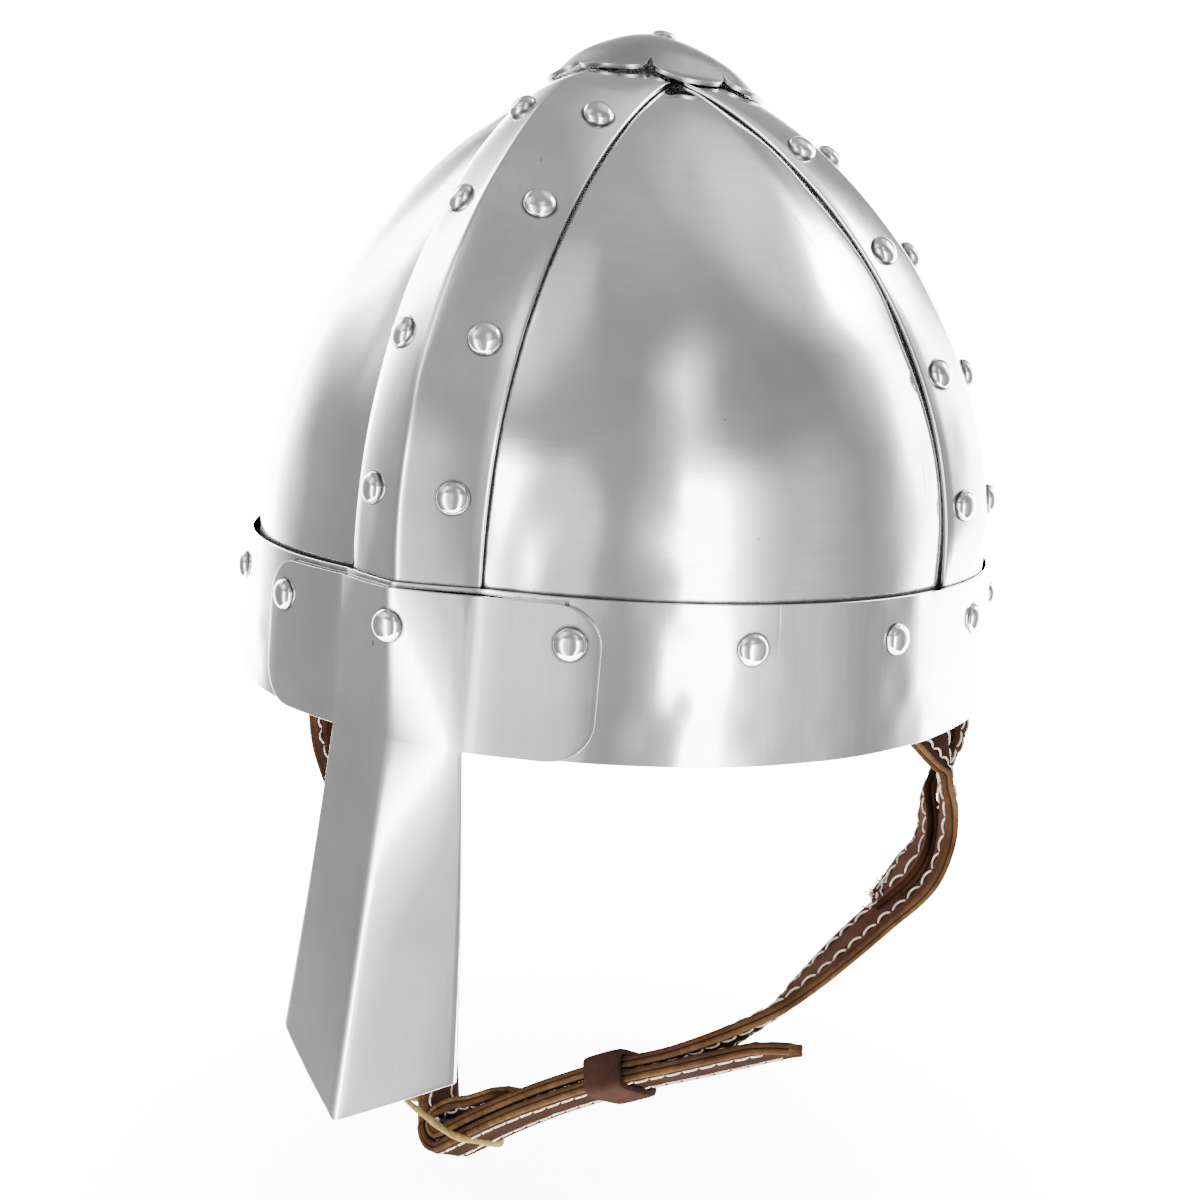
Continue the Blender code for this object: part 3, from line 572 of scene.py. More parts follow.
def away_from_rivets(points, spots):
    """Distance in mm from grid points to the rims of the rivets standing at these points."""
    nearest = np.full(points.shape[:2], FAR)
    for spot in spots:
        distance = np.linalg.norm(points - np.asarray(spot), axis=-1) - RIVET_RADIUS
        nearest = np.minimum(nearest, distance * TO_MM)
    return nearest


def build_plates(material):
    """Four plates with a soft unevenness, more hammered low down beside one edge."""
    for index in range(4):
        heights = row_heights(FOOT_HEIGHT, 84, 74.0)
        rows = np.repeat(heights[:, None], PLATE_COLUMNS, 1)
        half_x, half_y, shift = plan_sizes(rows)
        margin = np.degrees(np.arcsin(np.minimum(PLATE_EDGE / np.minimum(half_x, half_y), 0.68)))
        even = np.linspace(0.0, 1.0, PLATE_COLUMNS)
        share = even - 0.08 * np.sin(2.0 * np.pi * even)
        angle = 90.0 * index + margin + (90.0 - 2.0 * margin) * share[None, :]
        across = (share[None, :] - 0.22) / 0.20
        worked = np.exp(-(across**2) - ((rows - 1.25 * BROW_HEIGHT) / 0.020) ** 2)
        swell = ripple(rows.shape, PLATE_SWELL, 11 + index)
        swell = swell + worked * ripple(rows.shape, WORKED_SWELL, 71 + index, 4)
        outer = ring_point(angle, rows, swell, False)
        inner = ring_point(angle, rows, swell - SHEET, False)
        # The seam value paints grime and shade on the plate along the bands' edges and the brow band's top.
        beside = np.minimum(np.abs(outer[..., 0]), np.abs(outer[..., 1] + shift)) - BAND_HALF_WIDTH
        seam = np.minimum(beside, rows - BROW_HEIGHT) * TO_MM
        name = "plate_%s_%s" % (SIDE_NAMES[index], SIDE_NAMES[(index + 1) % 4])
        mesh = grid_mesh("look_" + name, outer, inner, values={"seam": seam})
        finish_piece(mesh, [material], [name], 0.0003)


def build_bands(material):
    """Four creased bands whose long edges lie down on the plates."""
    for side in range(4):
        heights = row_heights(FOOT_HEIGHT, 120, 81.0)
        share = np.linspace(-1.0, 1.0, 49)
        rows = np.repeat(heights[:, None], len(share), 1)
        half_x, half_y, _ = plan_sizes(rows)
        mitre = math.sqrt(0.5) * np.minimum(half_x, half_y) - GAP
        lateral = np.minimum(BAND_HALF_WIDTH, mitre) * share[None, :]
        swell = ripple(rows.shape, BAND_SWELL, 31 + side)
        tuck = BAND_TUCK * np.maximum(0.0, np.abs(share[None, :]) - 0.86) / 0.14
        outer = side_point(side, lateral, rows, GAP + SHEET + swell - tuck)
        inner = side_point(side, lateral, rows, GAP + swell * 0.5 - tuck * 0.5)
        spots = [
            side_point(side, np.array([at]), np.array([height]), GAP + SHEET)[0]
            for other, _, _, at, height in rivet_spots()
            if other == side
        ]
        # The seam value paints grime and shade round the band's rivets and along the brow band's top.
        seam = np.minimum(away_from_rivets(outer, spots), (rows - BROW_HEIGHT) * TO_MM)
        name = "band_" + SIDE_NAMES[side]
        mesh = grid_mesh("look_" + name, outer, inner, values={"seam": seam})
        finish_piece(mesh, [material], [name], 0.00025)


def brow_rivet_spots():
    found = []
    for step in range(BROW_RIVETS):
        angle = 360.0 * step / BROW_RIVETS
        on_nasal = min(angle, 360.0 - angle) < 30.0
        offset = NASAL_OFFSET + NASAL_SHEET if on_nasal else BROW_OFFSET + SHEET
        found.append((angle, on_nasal, offset))
    return found


def brow_rivet_point(angle, offset, right=0.0, up=0.0):
    turn = np.array([angle + math.degrees(right / HALF_WIDTH)])
    return ring_point(turn, np.array([BROW_RIVET_HEIGHT + up]), offset)[0]


def nasal_reach(height):
    """Half reach of the nasal's arms at a height, rounded at the corners."""
    top = BROW_HEIGHT - NASAL_TOP_MARGIN
    inside = np.minimum(height, top - height)
    drop = np.clip(1.0 - inside / NASAL_CORNER, 0.0, 1.0)
    return NASAL_ARM - NASAL_CORNER * (1.0 - np.sqrt(1.0 - drop**2))


def build_brow_band(material):
    """The ring, with grime and painted shade round its rivets and along the nasal that lies on it."""
    angles = np.linspace(0.0, 360.0, 720, endpoint=False)
    rim = np.array([0.0, 0.0004])
    middle = np.linspace(0.0012, BROW_HEIGHT - 0.0012, 38)
    heights = np.concatenate([rim, middle, BROW_HEIGHT - rim[::-1]])
    angle, rows = np.meshgrid(angles, heights)
    swell = ripple(rows.shape, BROW_SWELL, 51)
    fade = np.clip(np.minimum(angle, 360.0 - angle) / 8.0, 0.0, 1.0)
    outer = ring_point(angle, rows, BROW_OFFSET + SHEET + swell * fade)
    inner = ring_point(angle, rows, BROW_OFFSET)
    # The seam value paints grime and shade round the rivets, beside the nasal's edges and in a strip above its
    # top.
    spots = [brow_rivet_point(at, offset) for at, on_nasal, offset in brow_rivet_spots() if not on_nasal]
    seam = away_from_rivets(outer, spots)
    nasal_top = BROW_HEIGHT - NASAL_TOP_MARGIN
    beyond = (np.abs(outer[..., 0]) - nasal_reach(np.clip(rows, 0.0, nasal_top))) * TO_MM
    front = outer[..., 1] < 0.0
    over = rows > nasal_top + 0.0001
    beyond = np.where(over, 9.0, beyond)
    seam = np.where(front, np.minimum(seam, np.maximum(0.55 * beyond, 0.0)), seam)
    seam = np.maximum(seam, np.where(front & (beyond < -1.0), 9.0, -9.0))
    strip = front & over & (np.abs(outer[..., 0]) < NASAL_ARM - 0.6 * NASAL_CORNER)
    seam = np.where(strip, (rows - nasal_top) * 0.8 * TO_MM, seam)
    mesh = grid_mesh("look_brow_band", outer, inner, True, {"seam": seam})
    finish_piece(mesh, [material], ["brow_band"], 0.0003)


def nasal_columns(reach):
    """Lateral places across the arms: dense columns within the bar, then out to the reach."""
    bar = np.linspace(-NASAL_TOP_HALF_WIDTH, NASAL_TOP_HALF_WIDTH, BAR_COLUMNS)
    out = np.linspace(0.0, 1.0, ARM_COLUMNS + 1)[1:]
    right = NASAL_TOP_HALF_WIDTH + (reach - NASAL_TOP_HALF_WIDTH) * out
    return np.concatenate([-right[::-1], bar, right])


def build_nasal(material):
    """Arms and bar in one closed sheet, joined along the rim between the bar's edges."""
    top = BROW_HEIGHT - NASAL_TOP_MARGIN
    turn = np.radians(np.linspace(0.0, 90.0, 9))
    round_rows = NASAL_CORNER * (1.0 - np.cos(turn))
    straight = np.linspace(NASAL_CORNER, top - NASAL_CORNER, 14)[1:-1]
    heights = np.concatenate([round_rows, straight, top - round_rows[::-1]])
    arm = np.array([nasal_columns(float(nasal_reach(h))) for h in heights])
    rows = np.repeat(heights[:, None], arm.shape[1], 1)
    bar_rows = np.linspace(0.0, 1.0, BAR_ROWS)
    share = np.linspace(-1.0, 1.0, BAR_COLUMNS)
    middle = np.clip(1.0 - (np.sqrt(share**2 + 0.03**2) - 0.03) / 0.97, 0.0, 1.0)

    def bend(lateral):
        """The right half stands a little proud of a smooth crease, and falls back along the arm."""
        laterals = [0.0, 0.0060, 0.0120, 0.0155, 0.0180, 0.0210, 0.0250, 0.0290, 0.0330, 0.0380]
        heights_out = [0.0, 0.36, 0.72, 0.90, 0.94, 0.84, 0.55, 0.25, 0.06, 0.0]
        return NASAL_BEND * np.interp(lateral, laterals, heights_out)

    def arm_points(offset):
        return side_point(0, arm, rows, offset + bend(arm))

    def bar_points(offset):
        lateral = NASAL_TOP_HALF_WIDTH * share
        bent = side_point(0, lateral, 0.0 * share, offset + bend(lateral))
        level = side_point(0, lateral, 0.0 * share, offset)
        part = bar_rows[1:, None]
        bow = 0.0006 * np.sin(np.pi * part)
        drop = (NASAL_EDGE_DROP + NASAL_POINT * middle[None, :]) * part
        sweep = (NASAL_EDGE_SWEEP + (NASAL_RIDGE_SWEEP - NASAL_EDGE_SWEEP) * middle[None, :]) * part
        widen = (NASAL_END_HALF_WIDTH - NASAL_TOP_HALF_WIDTH) * share[None, :] * part
        shift = np.stack([widen, -sweep + bow * (1.0 - middle[None, :]), -drop], -1)
        ease = np.clip(1.0 - part * 1.7, 0.0, 1.0)[..., None] ** 1.5
        return level[None] + (bent - level)[None] * ease + shift

    points, faces, values = [], [], []
    arm_rows, arm_columns = arm.shape
    spots = [brow_rivet_point(at, offset) for at, on_nasal, offset in brow_rivet_spots() if on_nasal]
    for layer, offset in enumerate((NASAL_OFFSET + NASAL_SHEET, NASAL_OFFSET)):
        arms = arm_points(offset)
        bars = bar_points(offset)
        start = len(points)
        points += arms.reshape(-1, 3).tolist() + bars.reshape(-1, 3).tolist()
        # The seam value paints grime and shade round the nasal's rivets.
        values += away_from_rivets(arms, spots).reshape(-1).tolist() + [FAR] * bars[..., 0].size

        def bar_key(row, column, start=start):
            if row == 0:
                return start + ARM_COLUMNS + column
            return start + arm_rows * arm_columns + (row - 1) * BAR_COLUMNS + column

        found = []
        for row in range(arm_rows - 1):
            for column in range(arm_columns - 1):
                low = start + row * arm_columns + column
                found.append((low, low + 1, low + 1 + arm_columns, low + arm_columns))
        for row in range(BAR_ROWS - 1):
            for column in range(BAR_COLUMNS - 1):
                low = (bar_key(row + 1, column), bar_key(row + 1, column + 1))
                found.append(low + (bar_key(row, column + 1), bar_key(row, column)))
        if layer == 0:
            outer_faces = found
            count = len(points)
        faces += found if layer == 0 else [tuple(reversed(ring)) for ring in found]
    edges = dict.fromkeys(pair for ring in outer_faces for pair in zip(ring, ring[1:] + ring[:1]))
    for begin, end in edges:
        if (end, begin) not in edges:
            faces.append((end, begin, begin + count, end + count))
    mesh = bpy.data.meshes.new("look_nasal")
    mesh.from_pydata(points, [], faces)
    set_values(mesh, "seam", values)
    mesh.validate()
    finish_piece(mesh, [material], ["nasal"], 0.00035)


def band_rise(x, y, height):
    """How far the bands stand off the dome round its top."""
    _, _, shift = plan_sizes(height)
    found = 0.0 * x
    for side in range(4):
        turn = math.radians(90.0 * side)
        lateral = math.cos(turn) * x + math.sin(turn) * (y + shift)
        ahead = math.sin(turn) * x - math.cos(turn) * (y + shift) > 0.0
        found = np.maximum(found, np.where(ahead, crease(side, lateral, height, 0.003), 0.0))
    return GAP + SHEET + found


def finial_point(radius, angle, offset):
    """A point of the cap round its hole."""
    x = FINIAL_ASIDE + radius * np.sin(angle)
    y = FINIAL_BACK - APEX_FORWARD - radius * np.cos(angle)
    share = radius / FINIAL_RADIUS
    height = dome_height(x, y)
    lift = FINIAL_FRONT_LIFT * 0.5 * (1.0 + np.cos(angle)) * share
    rise = FINIAL_SEAT + lift + FINIAL_PEAK * (1.0 - share * share)
    below = band_rise(x, y, height) + 0.0004
    settle = np.clip((share - 0.62) / 0.30, 0.0, 1.0) ** 2
    rise = np.minimum(rise, rise * (1.0 - settle) + below * settle)
    return push_out(x, y, height, rise + offset)


def build_finial(material):
    columns = FINIAL_PETALS * PETAL_STEPS
    shares = np.concatenate([np.linspace(0.0, 0.92, 26), [0.95, 0.975, 0.99, 1.0]])[::-1]
    step = np.arange(columns)
    across = 2.0 * (step % PETAL_STEPS) / PETAL_STEPS - 1.0
    bulge = np.sqrt(np.maximum(0.0, 1.0 - across**2))
    edge = FINIAL_NOTCH_RADIUS + (FINIAL_RADIUS - FINIAL_NOTCH_RADIUS) * bulge
    angle = np.radians(360.0 * step / columns - 180.0 / FINIAL_PETALS)
    share = np.repeat(shares[:, None], columns, 1)
    radius = 0.0012 * (1.0 - share) + edge[None, :] * share
    turn = np.repeat(angle[None, :], len(shares), 0)
    dent = 0.00010 * np.sin(5.0 * turn + 1.0) * share**2
    outer = finial_point(radius, turn, SHEET + dent)
    inner = finial_point(radius, turn, dent)
    # The seam value paints grime and shade round the cap's rivet.
    mesh = grid_mesh("look_finial", outer, inner, True, {"seam": (radius - RIVET_RADIUS) * TO_MM})
    finish_piece(mesh, [material], ["finial"], 0.0003)


def head_points(seed):
    """A peened rivet head on Z = 0: domed, a little uneven, with a soft rim, ring by ring."""
    source = np.random.default_rng(seed)
    wobble = source.normal(size=6) * 0.00002
    tilt = source.normal(size=2) * 0.012
    points = []
    for ring in range(HEAD_RINGS):
        turn = math.radians(90.0 * ring / HEAD_RINGS)
        radius = RIVET_RADIUS * math.cos(turn) ** 0.82
        height = RIVET_HEAD * math.sin(turn) ** 1.05
        for side in range(HEAD_SIDES):
            around = 2.0 * math.pi * side / HEAD_SIDES
            uneven = sum(w * math.cos((k + 1) * around + k) for k, w in enumerate(wobble))
            reach = radius * (1.0 + uneven / RIVET_RADIUS * math.cos(turn))
            x, y = reach * math.cos(around), reach * math.sin(around)
            lean = 4.0 * (tilt[0] * x + tilt[1] * y) / RIVET_RADIUS
            points.append((x, y, height * (1.0 + lean)))
    return points


def heads_mesh(name, places, seed):
    """One mesh of rivet heads at (point, normal) places, each with a short root."""
    builder = bmesh.new()
    tone = builder.verts.layers.float.new("seam")
    for index, (point, normal) in enumerate(places):
        points = head_points(seed + index)
        turn = Vector(normal).to_track_quat("Z", "Y").to_matrix().to_4x4()
        matrix = Matrix.Translation(Vector(point)) @ turn
        root = [(x, y, -HEAD_ROOT) for x, y, _ in points[:HEAD_SIDES]]
        rings = []
        for number, place in enumerate(root + points):
            if number % HEAD_SIDES == 0:
                rings.append([])
            vertex = builder.verts.new(matrix @ Vector(place))
            # Low seam values on the root and rim rings paint grime and shade round the foot of each head.
            vertex[tone] = 0.15 if len(rings) < 3 else 0.75 if len(rings) < 4 else 9.0
            rings[-1].append(vertex)
        top = builder.verts.new(matrix @ Vector((0.0, 0.0, RIVET_HEAD)))
        top[tone] = 9.0
        for low, high in zip(rings, rings[1:]):
            join_rings(builder, low, high)
        for side in range(HEAD_SIDES):
            builder.faces.new([rings[-1][side], rings[-1][(side + 1) % HEAD_SIDES], top])
        builder.faces.new(rings[0][::-1])
    return mesh_of(name, builder)


def surface_frame(place):
    """Point and outward normal of a surface given as a function of two steps."""
    step = 0.001
    point = place(0.0, 0.0)
    along = place(step, 0.0) - place(-step, 0.0)
    up = place(0.0, step) - place(0.0, -step)
    normal = np.cross(along, up)
    return point, normal / np.linalg.norm(normal)


def build_rivets(material):
    for side in range(4):
        places = []
        names = []
        for other, row, hand, lateral, height in rivet_spots():
            if other != side:
                continue

            def place(right, up):
                at = (np.array([lateral + right]), np.array([height + up]))
                return side_point(side, *at, GAP + SHEET + 0.0003)[0]

            places.append(surface_frame(place))
            names.append("rivet_%s_%d%s" % (SIDE_NAMES[side], row, hand))
        mesh = heads_mesh("look_rivets_" + SIDE_NAMES[side], places, 100 + 20 * side)
        finish_piece(mesh, [material], names)
    brow, nose = [], []
    for angle, on_nasal, offset in brow_rivet_spots():

        def place(right, up):
            return brow_rivet_point(angle, offset, right, up)

        point, normal = surface_frame(place)
        if angle == 0.0:
            normal = np.array([0.0, -1.0, 0.0])
        (nose if on_nasal else brow).append((point, normal))
    for name, places, owner in (("brow", brow, "brow_band"), ("nasal", nose, "nasal")):
        mesh = heads_mesh("look_rivets_" + name, places, 300)
        finish_piece(mesh, [material], [owner])

    def place(right, up):
        return finial_point(np.hypot([right], [up]), np.arctan2([right], [-up]), SHEET + 0.0003)[0]

    mesh = heads_mesh("look_rivet_finial", [surface_frame(place)], 400)
    finish_piece(mesh, [material], ["finial_rivet"])


# Straps
def facing(bearing, tilt):
    flat = math.cos(math.radians(tilt))
    bearing = math.radians(bearing)
    return Vector((flat * math.cos(bearing), flat * math.sin(bearing), math.sin(math.radians(tilt))))


def route_rows(rows, mirror=1.0):
    found = []
    for across, forward, below, bearing, tilt, *share in rows:
        point = Vector((mirror * across * HALF_WIDTH, -forward * HALF_LENGTH, -below * STRAP_DROP))
        inward = facing(bearing, tilt)
        inward.x *= math.copysign(1.0, mirror)
        found.append((point, inward, share[0] if share else 1.0))
    return found


def wall_rows(rivet_angle, turn_way):
    found = []
    for turn, share in WALL_ROWS:
        angle = np.array([rivet_angle + turn * turn_way])
        inset = -(SHEET + STRAP_SEAT + 0.5 * STRAP_THICKNESS)
        outside = Vector(ring_point(angle, np.array([share * BROW_HEIGHT]), 0.0)[0])
        point = Vector(ring_point(angle, np.array([share * BROW_HEIGHT]), inset)[0])
        found.append((point, (point - outside).normalized(), 1.0))
    return found


def curve_between(rows, spot):
    last = len(rows) - 1
    index = min(int(spot), last - 1)
    part = spot - index
    before = rows[max(index - 1, 0)]
    start = rows[index]
    end = rows[index + 1]
    after = rows[min(index + 2, last)]
    out = []
    for a, b, c, d in zip(before, start, end, after):
        bend = (c - a) * part + (2.0 * a - 5.0 * b + 4.0 * c - d) * part**2
        bend = bend + (3.0 * b - a - 3.0 * c + d) * part**3
        out.append(b + bend * 0.5)
    return out


def bundle_frame(along_by):
    slope = math.radians(BUNDLE_SLOPE)
    roll = math.radians(BUNDLE_ROLL)
    turn = math.radians(BUNDLE_CURL) * max(along_by, 0.0) / BUNDLE_LENGTH
    heading = slope - turn
    mean = slope - 0.5 * turn
    middle = Vector((FOLD_ACROSS, -FOLD_FORWARD, -FOLD_BELOW))
    middle += Vector((math.cos(mean), 0.0, math.sin(mean))) * along_by
    rise = Vector((-math.sin(heading), 0.0, math.cos(heading)))
    forward = Vector((0.0, -1.0, 0.0))
    layers = rise * math.cos(roll) - forward * math.sin(roll)
    wide = forward * math.cos(roll) + rise * math.sin(roll)
    return middle, layers, wide


def bundle_point(along_by, layer_by, wide_by=0.0):
    middle, layers, wide = bundle_frame(along_by)
    return middle + layers * layer_by + wide * wide_by


def fold_row(turn, radius):
    turn = math.radians(turn)
    point = bundle_point(radius * math.cos(turn), radius * math.sin(turn))
    return (point, (bundle_point(0.0, 0.0) - point).normalized(), 1.0)


def straight_row(along_by, layer_by, up=1.0):
    return (bundle_point(along_by, layer_by), bundle_frame(along_by)[1] * up, 1.0)


def left_rows():
    rows = wall_rows(67.5, 1.0)
    rows += route_rows(FRONT_LEG_ROWS)
    rows += [straight_row(share * BUNDLE_LENGTH, -FOLD_RADIUS) for share in BUNDLE_SHARES]
    rows += [fold_row(turn, FOLD_RADIUS) for turn in FOLD_TURNS]
    return rows + [straight_row(share * FOLD_END_LENGTH, FOLD_RADIUS * lie, -1.0) for share, lie in FOLD_END_ROWS]


def rear_leg_rows(mirror):
    rows = wall_rows(112.5 * mirror, -mirror)
    spread = mirror if mirror > 0.0 else RIGHT_SPREAD
    rows += route_rows(REAR_LEG_ROWS, spread)
    front = route_rows(FRONT_LEG_ROWS, spread)
    for index, share, lie in ((4, 0.94, 1.0), (5, 0.50, 0.45)):
        point, inward, _ = front[index]
        ahead = (front[index + 1][0] - front[index - 1][0]).normalized()
        aside = inward.cross(ahead).normalized() * -mirror * REAR_LEG_ASIDE
        rows.append((point + inward * (STRAP_THICKNESS * lie + 0.0003) + aside, inward, share))
    return rows


def right_rows():
    rows = wall_rows(-67.5, -1.0)
    rows += route_rows(FRONT_LEG_ROWS[:6], RIGHT_SPREAD)
    rows += route_rows(RIGHT_REST_ROWS)
    rows += [fold_row(turn, OUTER_RADIUS) for turn in PAST_FOLD_TURNS]
    rows += [straight_row(share * BUNDLE_LENGTH, -OUTER_RADIUS) for share in BUNDLE_SHARES[3::-1]]
    return rows + route_rows(TIP_ROWS)


def strap_frames(rows):
    """Evenly spaced (length, point, wide, normal, width share, ahead) along the route."""
    raw = [curve_between(rows, step / 16.0) for step in range((len(rows) - 1) * 16 + 1)]
    length = [0.0]
    for low, high in zip(raw, raw[1:]):
        length.append(length[-1] + (high[0] - low[0]).length)
    count = int(length[-1] / STRAP_SPACING)
    frames = []
    for step in range(count + 1):
        target = length[-1] * step / count
        index = min(int(np.searchsorted(length, target, "right")) - 1, len(raw) - 2)
        part = (target - length[index]) / max(length[index + 1] - length[index], 1e-9)
        low, high = raw[index], raw[index + 1]
        frames.append([target] + [a + (b - a) * part for a, b in zip(low, high)])
    found = []
    for step, (along, point, inward, share) in enumerate(frames):
        ahead = (frames[min(step + 1, count)][1] - frames[max(step - 1, 0)][1]).normalized()
        wide = inward.cross(ahead).normalized()
        found.append((along, point, wide, ahead.cross(wide).normalized(), share, ahead))
    return found


def strap_section(half, deep):
    """Corners of a sewn strap's section as (across, up, furrow, layer, is edge)."""
    edge_side = ((0.86, 0.30), (0.62, 0.0), (0.30, 0.06), (0.10, 0.28))
    edge_rows = edge_side + ((0.0, 0.50),) + tuple((-up, out) for up, out in edge_side[::-1])
    corners = []
    for sign in (1.0, -1.0):
        for across in np.linspace(half - STRAP_EDGE, STRAP_EDGE - half, 19) * sign:
            off = abs(abs(across) - (half - STITCH_IN)) * TO_MM
            sink = 0.00022 * math.exp(-((off / 0.7) ** 2))
            puff = 0.00010 * (1.0 - (across / half) ** 2)
            corners.append((across, sign * (deep - sink - 0.0001 + puff), off, 9.0 * sign, False))
        for up, out in edge_rows:
            height = sign * up * deep
            corners.append((-sign * (half - out * STRAP_EDGE), height, 9.0, height * TO_MM, True))
    return corners


def strap_mesh(name, frames, end_cut=0.0):
    """A sewn strap through its frames, with face and edge materials."""
    rings, points, furrow, layer = [], [], [], []
    source = np.random.default_rng(len(frames))
    wave = np.cumsum(source.normal(size=len(frames))) * 0.00002
    wave -= np.linspace(0.0, wave[-1], len(frames))
    total = frames[-1][0]
    for step, (along, point, wide, normal, share, _) in enumerate(frames):
        half = 0.5 * STRAP_WIDTH * share + wave[step] * 0.6
        last = total - along
        ring = []
        for across, up, off, mid, _ in strap_section(half, 0.5 * STRAP_THICKNESS):
            if end_cut > 0.0 and last < end_cut and across > half - (end_cut - last):
                across = half - (end_cut - last)
            ring.append(len(points))
            points.append(tuple(point + wide * across + normal * up))
            furrow.append(off)
            layer.append(mid)
        rings.append(ring)
    count = len(rings[0])
    flags = [corner[4] for corner in strap_section(0.5 * STRAP_WIDTH, 0.5 * STRAP_THICKNESS)]
    faces, kinds = [], []
    for low, high in zip(rings, rings[1:]):
        for side in range(count):
            after = (side + 1) % count
            faces.append((low[side], high[side], high[after], low[after]))
            kinds.append(1 if flags[side] or flags[after] else 0)
    faces += [tuple(rings[0]), tuple(reversed(rings[-1]))]
    kinds += [1, 1]
    mesh = bpy.data.meshes.new(name)
    mesh.from_pydata(points, [], faces)
    mesh.polygons.foreach_set("material_index", kinds)
    set_values(mesh, "furrow", furrow)
    set_values(mesh, "layer", layer)
    turn_outward(mesh)
    return mesh


def tube(builder, path, radius, sides=6):
    """A closed tube through points, tapered where radius is a list."""
    rings = []
    count = len(path)
    for step, point in enumerate(path):
        ahead = (path[min(step + 1, count - 1)] - path[max(step - 1, 0)]).normalized()
        aside = ahead.orthogonal().normalized()
        if rings:
            aside = (last_aside - ahead * last_aside.dot(ahead)).normalized()
        last_aside = aside
        up = ahead.cross(aside)
        size = radius[step] if isinstance(radius, list) else radius
        ring = []
        for side in range(sides):
            turn = 2.0 * math.pi * side / sides
            ring.append(builder.verts.new(point + (aside * math.cos(turn) + up * math.sin(turn)) * size))
        rings.append(ring)
    for low, high in zip(rings, rings[1:]):
        join_rings(builder, low, high)
    builder.faces.new(rings[0][::-1])
    builder.faces.new(rings[-1])


def frame_at(frames, along):
    lengths = [f[0] for f in frames]
    index = min(max(int(np.searchsorted(lengths, along, "right")) - 1, 0), len(frames) - 2)
    low, high = frames[index], frames[index + 1]
    part = (along - low[0]) / max(high[0] - low[0], 1e-9)
    mixed = [a + (b - a) * part for a, b in zip(low[1:], high[1:])]
    return mixed


def stitch_mesh(name, frames, seed, frayed):
    """Thread on both faces: a row of bowed stitches along each edge, and loose threads at a frayed end."""
    source = np.random.default_rng(seed)
    builder = bmesh.new()
    total = frames[-1][0]
    count = int((total - 2.0 * STITCH_MARGIN) / STITCH_PITCH)
    for face, hand in ((1.0, 1.0), (1.0, -1.0), (-1.0, 1.0), (-1.0, -1.0)):
        for step in range(count):
            begin = STITCH_MARGIN + step * STITCH_PITCH
            bow = STITCH_BOW + 0.00018 * source.normal()
            lift = STITCH_LIFT + 0.00006 * source.normal()
            path = []
            for part in np.linspace(0.0, 1.0, 7):
                along = begin + STITCH_PITCH * (0.96 * part + 0.02)
                point, wide, normal, share, _ = frame_at(frames, along)
                arc = max(math.sin(math.pi * part), 0.0)
                across = hand * (0.5 * STRAP_WIDTH * share - STITCH_IN) + 0.0004 - bow * arc
                up = 0.5 * STRAP_THICKNESS - STITCH_DEPTH + (STITCH_RISE + lift) * arc**0.42
                path.append(point + wide * across + normal * (face * up))
            tube(builder, path, THREAD_RADIUS, 5)
    for _ in range(FRAYS if frayed else 0):
        point, wide, normal, share, ahead = frame_at(frames, total - FRAY_REACH * source.random())
        aside = STRAP_WIDTH * share * 0.8 * (source.random() - 0.5)
        path = [point + normal * (0.5 * STRAP_THICKNESS) + wide * aside]
        for _ in range(4):
            step = wide * source.normal() + ahead * source.normal() + normal * abs(source.normal() * 0.35)
            path.append(path[-1] + step * FRAY_STEP)
        tube(builder, path, FRAY_RADIUS, 5)
    return mesh_of(name, builder)


def build_straps(face, edge, shaded_edge, cotton):
    straps = (
        ("chin_strap_left", left_rows(), LEFT_END_CUT, edge),
        # The rear legs take a darker copy of the edge material: painted shade for edges that lie in shadow.
        ("rear_leg_left", rear_leg_rows(1.0), 0.0, shaded_edge),
        ("chin_strap_right", right_rows(), 0.0, edge),
        ("rear_leg_right", rear_leg_rows(-1.0), 0.0, shaded_edge),
    )
    for index, (name, rows, end_cut, rim) in enumerate(straps):
        frames = strap_frames(rows)
        mesh = strap_mesh("look_" + name, frames, end_cut)
        finish_piece(mesh, [face, rim], [name])
        stitches = stitch_mesh("stitches_" + name, frames, index + 1, name.startswith("rear"))
        finish_piece(stitches, [cotton], [name])


def build_keeper(material):
    """The loop round both straps: a plain band of smooth hide."""
    stack = 2.0 * STRAP_THICKNESS + STRAP_LAYER_GAP
    middle = -0.5 * (FOLD_RADIUS + OUTER_RADIUS)
    around = 72
    outer, inner = [], []
    for mark in np.linspace(-0.5, 0.5, 17):
        line_out, line_in = [], []
        swell = 0.0002 * (1.0 - (2.0 * mark) ** 4)
        for wall, line in ((KEEPER_WALL + swell, line_out), (0.0, line_in)):
            half = 0.5 * STRAP_WIDTH + KEEPER_SLACK + wall
            deep = 0.5 * stack + KEEPER_SLACK + wall
            for step in range(around):
                turn = 2.0 * math.pi * step / around
                sine, cosine = math.sin(turn), math.cos(turn)
                power = 7.0 if wall == 0.0 else 6.0
                scale = (abs(cosine) ** power + abs(sine) ** power) ** (-1.0 / power)
                along = KEEPER_ALONG + mark * KEEPER_WIDTH
                line.append(bundle_point(along, middle + deep * sine * scale, half * cosine * scale))
        outer.append(line_out)
        inner.append(line_in)
    mesh = grid_mesh("look_keeper", np.array(outer), np.array(inner), True)
    turn_outward(mesh)
    finish_piece(mesh, [material], ["keeper"], 0.0003)


def build_clasp(material):
    builder = bmesh.new()
    # The bar carries no seam values, so the rivet steel's grime and painted shade darken it all over.
    path = [bundle_point(0.0, 0.0, CLASP_LENGTH * part) for part in (-0.5, -0.45, 0.45, 0.5)]
    end = 0.8 * CLASP_RADIUS
    tube(builder, path, [end, CLASP_RADIUS, CLASP_RADIUS, end], 24)
    finish_piece(mesh_of("look_clasp_bar", builder), [material], ["clasp_bar"])


